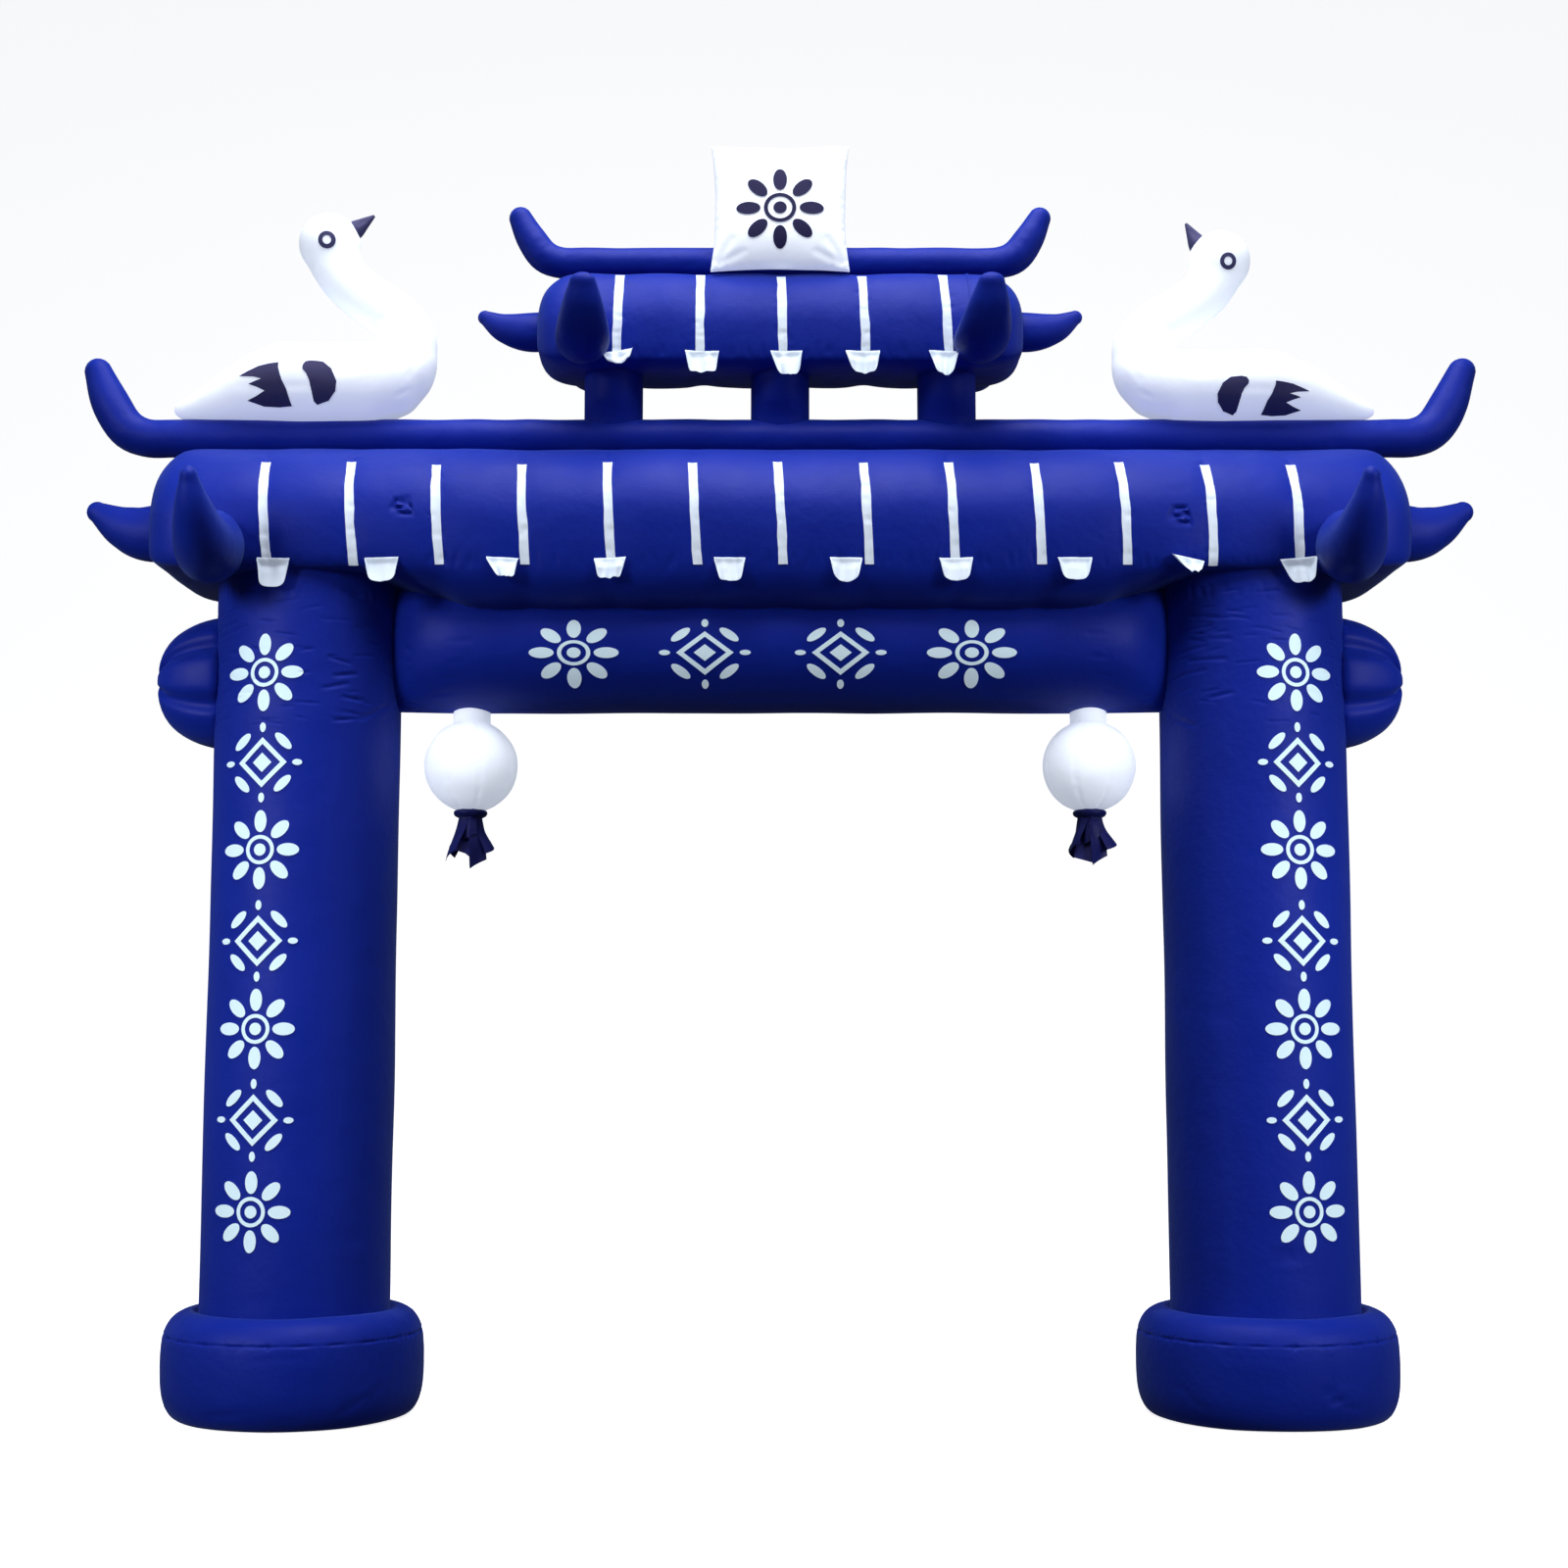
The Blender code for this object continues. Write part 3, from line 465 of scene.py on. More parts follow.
# %% [markdown]
# A seam runs round the shoulder, where the top disc is sewn to the side wall, and the
# cloth puckers along it. Low down the wall has a few dents where it was folded, and the
# right base has a small puckered mend near the ground.

# %% Base seams and dents
Mark = namedtuple("Mark", "angle height length slant width depth")


def round_point(x, radius, angle, height):
    """A point on a drum: the angle is from the front, positive to the right."""
    return np.array((x + radius * sin(radians(angle)), -radius * cos(radians(angle)), height))


def round_marks(x, radius, marks):
    """Turn marks on a drum into creases."""
    creases = []
    for mark in marks:
        turn = np.degrees(mark.length / 2 * cos(radians(mark.slant)) / radius)
        rise = mark.length / 2 * sin(radians(mark.slant))
        creases.append(Crease(round_point(x, radius, mark.angle - turn, mark.height - rise),
                              round_point(x, radius, mark.angle + turn, mark.height + rise),
                              mark.width, mark.depth))
    return creases


def ring_path(x, radius, height):
    """Points round a drum, 15 degrees apart, from its back."""
    return [round_point(x, radius, angle, height) for angle in range(-180, 181, 15)]


def hoop(x, radius, height, count):
    """Points round a level ring, from its front."""
    return [np.array((x + radius * sin(a), -radius * cos(a), height))
            for a in np.linspace(0, 2 * pi, count)]


BASE_MARKS = {
    "left": (Mark(38, 0.10, 0.16, 35, 0.018, 0.004), Mark(48, 0.13, 0.12, 48, 0.015, 0.003),
             Mark(-20, 0.07, 0.20, 4, 0.022, 0.003), Mark(12, 0.05, 0.14, -8, 0.018, 0.003),
             Mark(62, 0.22, 0.18, 80, 0.020, 0.003), Mark(5, 0.30, 0.22, 3, 0.020, 0.002)),
    "right": (Mark(16, 0.155, 0.10, -58, 0.016, 0.008), Mark(19, 0.130, 0.07, 30, 0.014, 0.006),
              Mark(22, 0.165, 0.06, 75, 0.012, -0.004), Mark(-4, 0.085, 0.07, 70, 0.014, 0.004),
              Mark(26, 0.100, 0.10, -15, 0.016, 0.004), Mark(-45, 0.12, 0.15, -38, 0.017, 0.003),
              Mark(15, 0.25, 0.14, 82, 0.016, 0.003)),
}
for side, x, base in (("left", -COLUMN_X, left_base), ("right", COLUMN_X, right_base)):
    finer(base, [((x - 0.6, -0.6, 0.305), (x + 0.6, 0.05, 0.395))], 2)
    swell(base, 0.004, 0.30)
    stitched = ring_path(x, *BASE_SEAM)
    outward = [round_point(0, 1, angle + 7.5, 0) * 0.18 + np.array((0, 0, -0.98))
               for angle in range(-180, 180, 15)]
    creases = seam(stitched, 0.008, 0.005)
    creases += puckers(stitched, outward, 0.030, 0.024, 0.0075, 0.0065, seed=11)
    creases += round_marks(x, 0.55, BASE_MARKS[side])
    press_creases(base, creases)
    hand_over(base, BLUE, [side + "_base"])
print("Creases on a base:", len(creases))

# %% [markdown]
# ## Columns
#
# A column is a tall tube, tight with air. The cloth near its top hangs in fine level
# wrinkles, because the roof's weight shortens it there, so the outline has its points
# close together over that height and further apart below.

# %% Columns
LOW_ROWS = np.arange(0.4275, 2.60, 0.030)
HIGH_ROWS = np.arange(2.60, 3.60, 0.010)
COLUMN_TOP = 3.755
column_outline = [(0.0, 0.4275), (0.25, 0.4275)]
column_outline += [(COLUMN_RADIUS - 0.001, z) for z in (*LOW_ROWS, *HIGH_ROWS, COLUMN_TOP)]
column_outline += [(0.25, COLUMN_TOP), (0.0, COLUMN_TOP)]
left_column = turned("left_tall_column", column_outline, 150, -COLUMN_X)
right_column = copy_of(left_column, "right_tall_column")
right_column.data.transform(Matrix.Translation((2 * COLUMN_X, 0, 0)))

COLUMN_MARKS = {
    "left": (Mark(-52, 3.42, 0.20, 6, 0.011, 0.004), Mark(-60, 3.37, 0.16, -4, 0.010, 0.004),
             Mark(-48, 3.33, 0.18, 5, 0.011, 0.003), Mark(-66, 3.29, 0.20, 3, 0.011, 0.004),
             Mark(-55, 3.25, 0.24, -5, 0.012, 0.003), Mark(-62, 3.20, 0.18, 8, 0.011, 0.004),
             Mark(-50, 3.16, 0.22, 2, 0.012, 0.003), Mark(-68, 3.12, 0.18, -6, 0.011, 0.004),
             Mark(-58, 3.07, 0.20, 4, 0.012, 0.003), Mark(-64, 3.01, 0.22, -3, 0.012, 0.003),
             Mark(-54, 2.95, 0.16, 5, 0.012, 0.003), Mark(30, 3.20, 0.11, -12, 0.010, 0.003),
             Mark(34, 3.14, 0.12, 9, 0.011, 0.004), Mark(28, 3.09, 0.13, 14, 0.011, 0.003),
             Mark(38, 3.04, 0.10, -6, 0.010, 0.003), Mark(58, 3.00, 0.22, 26, 0.016, 0.003),
             Mark(-40, 2.50, 0.30, 2, 0.040, 0.002), Mark(48, 1.90, 0.35, -3, 0.045, 0.002),
             Mark(-48, 1.30, 0.32, 3, 0.045, 0.002), Mark(40, 0.75, 0.28, 5, 0.040, 0.002)),
    "right": (Mark(-42, 3.40, 0.18, -8, 0.011, 0.003), Mark(-48, 3.35, 0.20, 4, 0.011, 0.004),
              Mark(-38, 3.30, 0.22, -5, 0.012, 0.004), Mark(-52, 3.26, 0.18, 7, 0.011, 0.003),
              Mark(-40, 3.21, 0.20, -3, 0.012, 0.004), Mark(-50, 3.16, 0.16, 5, 0.011, 0.003),
              Mark(60, 3.30, 0.22, -4, 0.012, 0.004), Mark(54, 3.20, 0.24, 5, 0.012, 0.003),
              Mark(64, 3.10, 0.20, -6, 0.012, 0.004), Mark(56, 3.00, 0.22, 3, 0.012, 0.003),
              Mark(-30, 3.05, 0.12, 10, 0.011, 0.003), Mark(-60, 2.96, 0.20, -22, 0.015, 0.003),
              Mark(2, 0.700, 0.16, -6, 0.020, 0.004), Mark(44, 2.30, 0.32, 3, 0.045, 0.002),
              Mark(-46, 1.70, 0.34, -4, 0.045, 0.002), Mark(50, 1.10, 0.30, 4, 0.042, 0.002)),
}
FOOT_HEIGHT = 0.50
WRINKLE_STRENGTH = 1.7


def fine_wrinkles(seed):
    """Short level wrinkles, scattered over the top of a column."""
    rng = np.random.default_rng(seed)
    return [Mark(rng.uniform(-80, 80), 3.50 - 0.60 * rng.uniform(0, 1) ** 1.3,
                 rng.uniform(0.05, 0.15), rng.uniform(-14, 14), rng.uniform(0.006, 0.009),
                 rng.uniform(0.0015, 0.0035)) for _ in range(70)]


for side, x, column in (("left", -COLUMN_X, left_column), ("right", COLUMN_X, right_column)):
    finer(column, [((x - 0.5, -0.5, 2.84), (x + 0.5, 0.0, 3.54))], 1)
    swell(column, 0.005, 0.55)
    creases = [crease._replace(depth=crease.depth * WRINKLE_STRENGTH)
               for crease in round_marks(x, COLUMN_RADIUS, COLUMN_MARKS[side])]
    creases += round_marks(x, COLUMN_RADIUS, fine_wrinkles(500 if side == "left" else 501))
    creases += puckers(ring_path(x, COLUMN_RADIUS, FOOT_HEIGHT), (0, 0, 1), 0.055, 0.05,
                       0.014, 0.003, seed=21)
    creases += puckers(ring_path(x, COLUMN_RADIUS, 3.50), (0, 0, 1), 0.045, 0.06,
                       0.014, 0.004, seed=22)
    press_creases(column, creases)
    hand_over(column, BLUE, [side + "_column"])
print("Creases on a column:", len(creases))

# %% [markdown]
# ## Lintel and arms
#
# The lintel is a level tube that narrows from front to back where it meets the columns.
# A spun drum can't do that, so a ring of edges is extruded from station to station, with
# each ring set to its own oval, and a Subdivision Surface rounds what lies between.

# %% Extrude a ring from station to station
def loft(name, rings):
    """Extrude a ring of edges through the given rings of points, and fill both ends."""
    clear_selection()
    bpy.ops.mesh.primitive_circle_add(vertices=len(rings[0]), radius=0.1)
    obj = bpy.context.object
    obj.name = name
    bpy.ops.object.mode_set(mode="EDIT")
    bpy.ops.mesh.select_all(action="SELECT")
    shell = bmesh.from_edit_mesh(obj.data)
    shell.verts.ensure_lookup_table()
    current = list(range(len(rings[0])))
    for index, point in zip(current, rings[0]):
        shell.verts[index].co = point
    for ring in rings[1:]:
        bpy.ops.mesh.extrude_edges_move()
        shell = bmesh.from_edit_mesh(obj.data)
        shell.verts.ensure_lookup_table()
        shell.verts.index_update()
        current = [next(edge.other_vert(shell.verts[index]).index
                        for edge in shell.verts[index].link_edges
                        if edge.other_vert(shell.verts[index]).select)
                   for index in current]
        for index, point in zip(current, ring):
            shell.verts[index].co = point
    bmesh.update_edit_mesh(obj.data)
    bpy.ops.mesh.edge_face_add()
    bpy.ops.mesh.select_all(action="DESELECT")
    shell = bmesh.from_edit_mesh(obj.data)
    shell.verts.ensure_lookup_table()
    for index in range(len(rings[0])):
        shell.verts[index].select = True
    shell.select_flush(True)
    bpy.ops.mesh.edge_face_add()
    bpy.ops.object.mode_set(mode="OBJECT")
    close_up(obj)
    return obj


def oval(x, half_depth, half_height, z, sides):
    """An upright oval of points at x."""
    return [Vector((x, half_depth * cos(2 * pi * k / sides),
                    z + half_height * sin(2 * pi * k / sides))) for k in range(sides)]


LINTEL_Z = 3.32
LINTEL_RADIUS = 0.30
LINTEL_ENDS = ((1.76, 0.08), (1.70, 0.12), (1.64, 0.18), (1.58, 0.23), (1.50, 0.27),
               (1.38, 0.295))
stations = [(-x, depth) for x, depth in LINTEL_ENDS]
stations += [(x, LINTEL_RADIUS) for x in np.linspace(-1.25, 1.25, 26)]
stations += [(x, depth) for x, depth in reversed(LINTEL_ENDS)]
lintel = loft("lintel_tube", [oval(x, depth, LINTEL_RADIUS, LINTEL_Z, 24)
                              for x, depth in stations])
apply_modifier(lintel, "SUBSURF", levels=2, render_levels=2)
finer(lintel, [((-1.80, -0.35, 3.0), (-1.22, 0.0, 3.65)),
               ((1.22, -0.35, 3.0), (1.80, 0.0, 3.65))], 1)
swell(lintel, 0.005, 0.40)
print("Points in the lintel:", len(lintel.data.vertices))

# %% [markdown]
# The pull of the columns leaves the lintel's ends gathered: long slanting folds run in
# from each corner, with a deep pucker at the lower left one.

# %% Lintel folds
def lintel_point(x, angle):
    """A point on the lintel: 0 faces front, 90 is on top."""
    return np.array((x, -LINTEL_RADIUS * cos(radians(angle)),
                     LINTEL_Z + LINTEL_RADIUS * sin(radians(angle))))


# where a fold starts and ends: x, and degrees up from the front
Fold = namedtuple("Fold", "x angle to_x to_angle width depth")
LINTEL_FOLDS = (
    Fold(-1.67, -48, -1.38, -36, 0.016, 0.009), Fold(-1.68, -30, -1.36, -22, 0.015, 0.007),
    Fold(-1.68, -8, -1.32, -4, 0.016, 0.006), Fold(-1.67, 14, -1.36, 18, 0.016, 0.007),
    Fold(-1.66, 36, -1.30, 38, 0.018, 0.006), Fold(-1.64, -64, -1.42, -52, 0.015, 0.010),
    Fold(-1.62, -72, -1.50, -40, 0.013, 0.009), Fold(-1.60, 58, -1.28, 50, 0.018, 0.006),
    Fold(1.66, -44, 1.36, -34, 0.016, 0.008), Fold(1.68, -24, 1.34, -18, 0.016, 0.007),
    Fold(1.68, 0, 1.30, 2, 0.016, 0.006), Fold(1.67, 20, 1.34, 24, 0.016, 0.007),
    Fold(1.64, -62, 1.40, -48, 0.015, 0.008), Fold(1.62, 46, 1.28, 44, 0.018, 0.006),
    Fold(-1.05, 52, -0.62, 48, 0.028, 0.003), Fold(0.20, 55, 0.70, 50, 0.028, 0.003),
    Fold(-0.30, -58, 0.22, -60, 0.030, 0.003), Fold(0.85, -52, 1.20, -56, 0.026, 0.003),
)
creases = [Crease(lintel_point(f.x, f.angle), lintel_point(f.to_x, f.to_angle), f.width,
                  f.depth) for f in LINTEL_FOLDS]
for sign in (-1, 1):
    edge = [(sign * 1.60, -0.20 * cos(a), LINTEL_Z + 0.30 * sin(a))
            for a in np.linspace(-pi / 2, pi / 2, 9)]
    creases += puckers(edge, (1, 0, 0), 0.045, 0.05, 0.013, 0.005, seed=31 + sign)
press_creases(lintel, creases)
hand_over(lintel, BLUE, ["lintel"])
print("Folds in the lintel:", len(creases))

# %% [markdown]
# Outside each column a short arm ends in three lobes, because two sewn bands draw it in.
# It is extruded the same way, with the points beside each band pulled towards the middle.

# %% Arms
ARM_Z = 3.155
ARM_HALF_HEIGHT = 0.305
ARM_HALF_DEPTH = 0.21
ARM_BANDS = (0.145, -0.120)
ARM_STATIONS = ((2.42, 0.985), (2.48, 0.965), (2.54, 0.92), (2.59, 0.86), (2.64, 0.77),
                (2.68, 0.67), (2.715, 0.53), (2.738, 0.36), (2.748, 0.18))
for side, sign in (("left", -1), ("right", 1)):
    rings = []
    for x, fullness in ARM_STATIONS:
        ring = oval(sign * x, 1.0, 1.0, 0.0, 64)
        for point in ring:
            height = point.z * ARM_HALF_HEIGHT
            draw = sum(np.exp(-((height - band) / 0.030) ** 2) for band in ARM_BANDS)
            point.y *= ARM_HALF_DEPTH * fullness * (1 - 0.24 * draw)
            point.z = ARM_Z + point.z * ARM_HALF_HEIGHT * fullness
            point.x -= sign * 0.045 * draw * (1 - fullness)
        rings.append(ring)
    arm = loft(side + "_side_arm", rings)
    apply_modifier(arm, "SUBSURF", levels=1, render_levels=1)
    creases = []
    for band in ARM_BANDS:
        row = [(sign * x, -0.17, ARM_Z + band) for x in (2.44, 2.52, 2.60, 2.68)]
        creases += puckers(row, (0, 0, 1), 0.030, 0.035, 0.010, 0.005, seed=41 + sign)
    press_creases(arm, creases)
    hand_over(arm, BLUE, [side + "_arm"])
print("Arms end at", ARM_STATIONS[-1][0], "m from the middle")

# %% [markdown]
# ## Quilted roofs
#
# Each roof is a long bag with a sloping front, a sagging underside and rounded ends. White
# strips are sewn down the front, and the cloth swells between them like a quilt. The same
# section is set at every station, and drawn in at each strip. Six stations to a panel
# are enough, because the Subdivision Surface makes the swell between them round. Faces
# are cut smaller only where creases will be pressed in.

# %% Sections of a roof
SLOPE = ((0.0, 1.0), (0.28, 0.975), (0.54, 0.90), (0.79, 0.755), (0.955, 0.55), (1.0, 0.34),
         (0.94, 0.0))
UNDERSIDE = ((0.85, 0.42), (0.71, 0.14), (0.52, 0.0), (0.26, 0.0), (0.0, 0.0))
EAVE_ROW = len(SLOPE) - 1
# the ridge holds the cloth up, so a strip hardly draws in the top of the slope
STRIP_FULLNESS = 0.93
TOP_PINCH = 0.25
ROOF_END = ((0.0, 0.30), (0.008, 0.52), (0.03, 0.72), (0.07, 0.86), (0.13, 0.945), (0.20, 0.985))
QUILT = ((-0.06, 1.0), (0.06, 1.0), (0.17, 0.32), (0.36, 0.0), (0.64, 0.0), (0.83, 0.32))
Roof = namedtuple("Roof", "half_length half_depth top eave bottom pinch strips top_pitch "
                          "foot_pitch top_shift foot_shift lift")
MAIN_ROOF = Roof(half_length=2.752, half_depth=0.485, top=4.20, eave=3.595, bottom=3.43,
                 pinch=0.024, strips=13, top_pitch=0.3687, foot_pitch=0.3664,
                 top_shift=-0.017, foot_shift=0.0145, lift=0.155)
UPPER_ROOF = Roof(half_length=1.089, half_depth=0.245, top=5.02, eave=4.570, bottom=4.545,
                  pinch=0.060, strips=5, top_pitch=0.3585, foot_pitch=0.3662,
                  top_shift=0.004, foot_shift=0.013, lift=0.0)
MAIN_MENDS = ((-1.61, 3.845), (1.70, 3.805))


def strip_x(roof, index, height_share):
    """The middle of a sewn strip, which leans a little from ridge to eave."""
    count = index - (roof.strips - 1) / 2
    top = roof.top_shift + count * roof.top_pitch
    foot = roof.foot_shift + count * roof.foot_pitch
    return foot + (top - foot) * height_share


def roof_point(roof, x, row, fullness, side):
    """One point of the section: row 0 is at the ridge, then down the front and under."""
    if fullness > STRIP_FULLNESS and row < 3:
        fullness = 1 - (1 - fullness) * TOP_PINCH
    if row <= EAVE_ROW:
        depth, height = SLOPE[row]
        z = roof.eave + (roof.top - roof.eave) * height
    else:
        depth, height = UNDERSIDE[row - EAVE_ROW - 1]
        reach = min(1.0, max(0.0, (abs(x) - 1.25) / 0.55))
        low = roof.bottom + roof.lift * reach * reach * (3 - 2 * reach)
        z = low + (roof.eave - low) * height
    middle = roof.eave + (roof.top - roof.eave) * 0.35
    return Vector((x, side * roof.half_depth * depth * fullness,
                   middle + (z - middle) * fullness))


def roof_rings(roof):
    """All the rings of a roof, from its left end to its right one."""
    inside = []
    for index in range(roof.strips):
        for step, draw in QUILT:
            if index + step < roof.strips - 0.9:
                inside.append((strip_x(roof, index + step, 1), strip_x(roof, index + step, 0),
                               1.0 - roof.pinch * draw))
    reach = strip_x(roof, roof.strips - 1, 0)
    ends = [(roof.half_length - inset, fullness) for inset, fullness in ROOF_END]
    ends += [(x, 1.0) for x in np.linspace(roof.half_length - 0.26, reach + 0.10, 3)]
    stations = [(-x, -x, fullness) for x, fullness in ends] + inside
    stations += [(x, x, fullness) for x, fullness in reversed(ends)]
    rows = len(SLOPE) + len(UNDERSIDE)
    rings = []
    for top_x, foot_x, fullness in stations:
        ring = []
        for side, order in ((-1, range(rows)), (1, range(rows - 2, 0, -1))):
            for row in order:
                share = SLOPE[row][1] if row <= EAVE_ROW else 0.0
                x = foot_x + (top_x - foot_x) * share
                ring.append(roof_point(roof, x, row, fullness, side))
        rings.append(ring)
    return rings


def make_roof(name, roof, beside, low, high, eave_box):
    """Loft and round a roof, with smaller faces beside its strips and at its eave."""
    body = loft(name, roof_rings(roof))
    apply_modifier(body, "SUBSURF", levels=2, render_levels=2)
    middles = [strip_x(roof, index, 0.5) for index in range(roof.strips)]
    boxes = [((x - beside, *low), (x + beside, *high)) for x in middles]
    finer(body, boxes + [eave_box], 1)
    return body


main_roof = make_roof("main_quilted_roof", MAIN_ROOF, 0.055, (-0.55, 3.58), (-0.12, 4.15),
                      ((-2.6, -0.55, 3.56), (2.6, -0.35, 3.68)))
finer(main_roof, [((x - 0.12, -0.55, z - 0.09), (x + 0.12, -0.12, z + 0.09))
                  for x, z in MAIN_MENDS], 2)
swell(main_roof, 0.006, 0.30)
upper_roof = make_roof("upper_quilted_roof", UPPER_ROOF, 0.070, (-0.36, 4.56), (-0.06, 5.0),
                       ((-1.0, -0.36, 4.54), (1.0, -0.18, 4.64)))
swell(upper_roof, 0.005, 0.22)
print("Points in the roofs:", len(main_roof.data.vertices), len(upper_roof.data.vertices))

# %% [markdown]
# Every strip's stitching puckers the cloth on both sides of it, and short puckers run along
# the eave. The main roof also has two small mends, each a knot of short deep creases. To
# find points on the swollen front, a ray is cast back from the front.

# %% Roof puckers
def on_front(obj, x, z):
    """The point of an object's front face at x and z."""
    hit, place, _, _ = obj.ray_cast(Vector((x, -3.0, z)), Vector((0, 1, 0)))
    return np.array(place) if hit else None


def front_path(obj, route):
    """Points on the front face along a route of (x, z)."""
    found = [on_front(obj, x, z) for x, z in route]
    return [point for point in found if point is not None]


# right and up from the mend's middle, length, and slant in degrees
MEND_CREASES = ((0.0, 0.032, 0.075, 4), (0.012, 0.014, 0.06, -9), (-0.014, -0.006, 0.08, 11),
                (0.006, -0.028, 0.095, -5), (-0.034, 0.010, 0.04, 60), (0.038, 0.0, 0.035, -68))
for roof, body, seed in ((MAIN_ROOF, main_roof, 51), (UPPER_ROOF, upper_roof, 52)):
    creases = []
    for index in range(roof.strips):
        route = [(strip_x(roof, index, share), roof.eave + (roof.top - roof.eave) * share)
                 for share in np.linspace(0.03, 0.86, 9)]
        line = front_path(body, route)
        creases += seam(line, 0.016, 0.004)
        creases += puckers(line, (1, 0, 0), 0.034, 0.045, 0.010, 0.0065, seed + index)
    eave_line = front_path(body, [(x, roof.eave + 0.02) for x in
                                  np.arange(-roof.half_length + 0.2, roof.half_length - 0.2,
                                            0.12)])
    creases += puckers(eave_line, (0, 0, 1), 0.060, 0.055, 0.013, 0.0065, seed + 60)
    if roof is MAIN_ROOF:
        for x, z in MAIN_MENDS:
            for dx, dz, length, slant in MEND_CREASES:
                half = np.array((cos(radians(slant)), sin(radians(slant)))) * length / 2
                ends = front_path(body, [(x + dx - half[0], z + dz - half[1]),
                                         (x + dx + half[0], z + dz + half[1])])
                creases.append(Crease(ends[0], ends[1], 0.0080, 0.015))
    press_creases(body, creases)
    print(body.name, "creases:", len(creases))
hand_over(main_roof, BLUE, ["main_roof"])
hand_over(upper_roof, BLUE, ["upper_roof"])

# %% [markdown]
# ## Ridges and horns
#
# Ridges and horns are tubes on a bent line. A curve with a round bevel carries a radius
# at each of its points, so one line of numbers gives the route and the taper together,
# and it is then turned into a mesh.

# %% Tubes along a curve
def tube(name, route, sides):
    """Sweep a round tube along points of (x, y, z, radius) and close its ends."""
    clear_selection()
    bpy.ops.curve.primitive_nurbs_path_add()
    curve = bpy.context.object
    curve.name = name
    curve.data.splines.clear()
    line = curve.data.splines.new("POLY")
    line.points.add(len(route) - 1)
    for point, (x, y, z, radius) in zip(line.points, route):
        point.co = (x, y, z, 1.0)
        point.radius = radius
    curve.data.dimensions = "3D"
    curve.data.twist_mode = "MINIMUM"
    curve.data.bevel_depth = 1.0
    curve.data.bevel_resolution = sides // 2 - 2
    curve.data.use_fill_caps = True
    bpy.ops.object.convert(target="MESH")
    obj = bpy.context.object
    close_up(obj)
    return obj


def domed(route, first, last):
    """Add closing points to a route, so that its ends are round."""
    route = [np.array(point, dtype=float) for point in route]
    for wanted, end, inner, at in ((last, -1, -2, len(route)), (first, 0, 1, 0)):
        if not wanted:
            continue
        out = route[end][:3] - route[inner][:3]
        out = out / np.linalg.norm(out)
        cap = [np.append(route[end][:3] + out * route[end][3] * sin(a), route[end][3] * cos(a))
               for a in np.radians((20, 38, 54, 68, 79, 87))]
        if end == 0:
            route = cap[::-1] + route
        else:
            route = route + cap
    return route


Ridge = namedtuple("Ridge", "z radius straight tip_x tip_z")
MAIN_RIDGE = Ridge(4.265, 0.085, 2.84, 3.065, 4.57)
UPPER_RIDGE = Ridge(5.076, 0.070, 0.99, 1.175, 5.285)
for name, ridge, node in (("main_ridge_tube", MAIN_RIDGE, "main_ridge"),
                          ("upper_ridge_tube", UPPER_RIDGE, "upper_ridge")):
    rise = ridge.tip_z - ridge.z
    reach = ridge.tip_x - ridge.straight
    bend = [(ridge.straight - 0.12, ridge.z, 1.0), (ridge.straight, ridge.z + 0.004, 1.0),
            (ridge.straight + 0.42 * reach, ridge.z + 0.17 * rise, 1.04),
            (ridge.straight + 0.74 * reach, ridge.z + 0.55 * rise, 0.98),
            (ridge.tip_x, ridge.tip_z, 0.74)]
    right = smooth_line([(x, 0.0, z, share * ridge.radius) for x, z, share in bend], 26)
    level = [(x, 0.0, ridge.z, ridge.radius)
             for x in np.arange(-ridge.straight + 0.14, ridge.straight - 0.13, 0.022)]
    left = [(-x, y, z, radius) for x, y, z, radius in reversed(right)]
    body = tube(name, domed(left + level + right, True, True), 44)
    swell(body, 0.004, 0.16)
    line = [(x, -ridge.radius * 0.85, ridge.z + ridge.radius * 0.5)
            for x in np.arange(-ridge.straight, ridge.straight + 0.05, 0.15)]
    lower = [(x, -ridge.radius * 0.9, ridge.z - ridge.radius * 0.45) for x, _, _ in line]
    creases = puckers(line, (0.1, 0.3, 0.8), 0.075, 0.035, 0.013, 0.004, seed=61)
    creases += puckers(lower, (0.1, 0, 1), 0.035, 0.030, 0.010, 0.004, seed=62)
    for sign in (-1, 1):
        bent = [(sign * x, -radius * 0.9, z) for x, _, z, radius in right[3:20:4]]
        creases += puckers(bent, (sign * 0.6, 0, -0.75), 0.030, 0.045, 0.012, 0.006, seed=63)
    press_creases(body, creases)
    hand_over(body, BLUE, [node])
    print(name, "points:", len(body.data.vertices))

# %% [markdown]
# The horns are petals of cloth: broad at the root, flattened from side to side and blunt
# at the tip. One front horn and one end horn are made for each roof. The others are
# copies, mirrored or turned to their places. Puckers run along each horn from the seam at
# its root.

# %% Horns
HORN_FLATNESS = 0.80
REAR_LIFT = 0.035
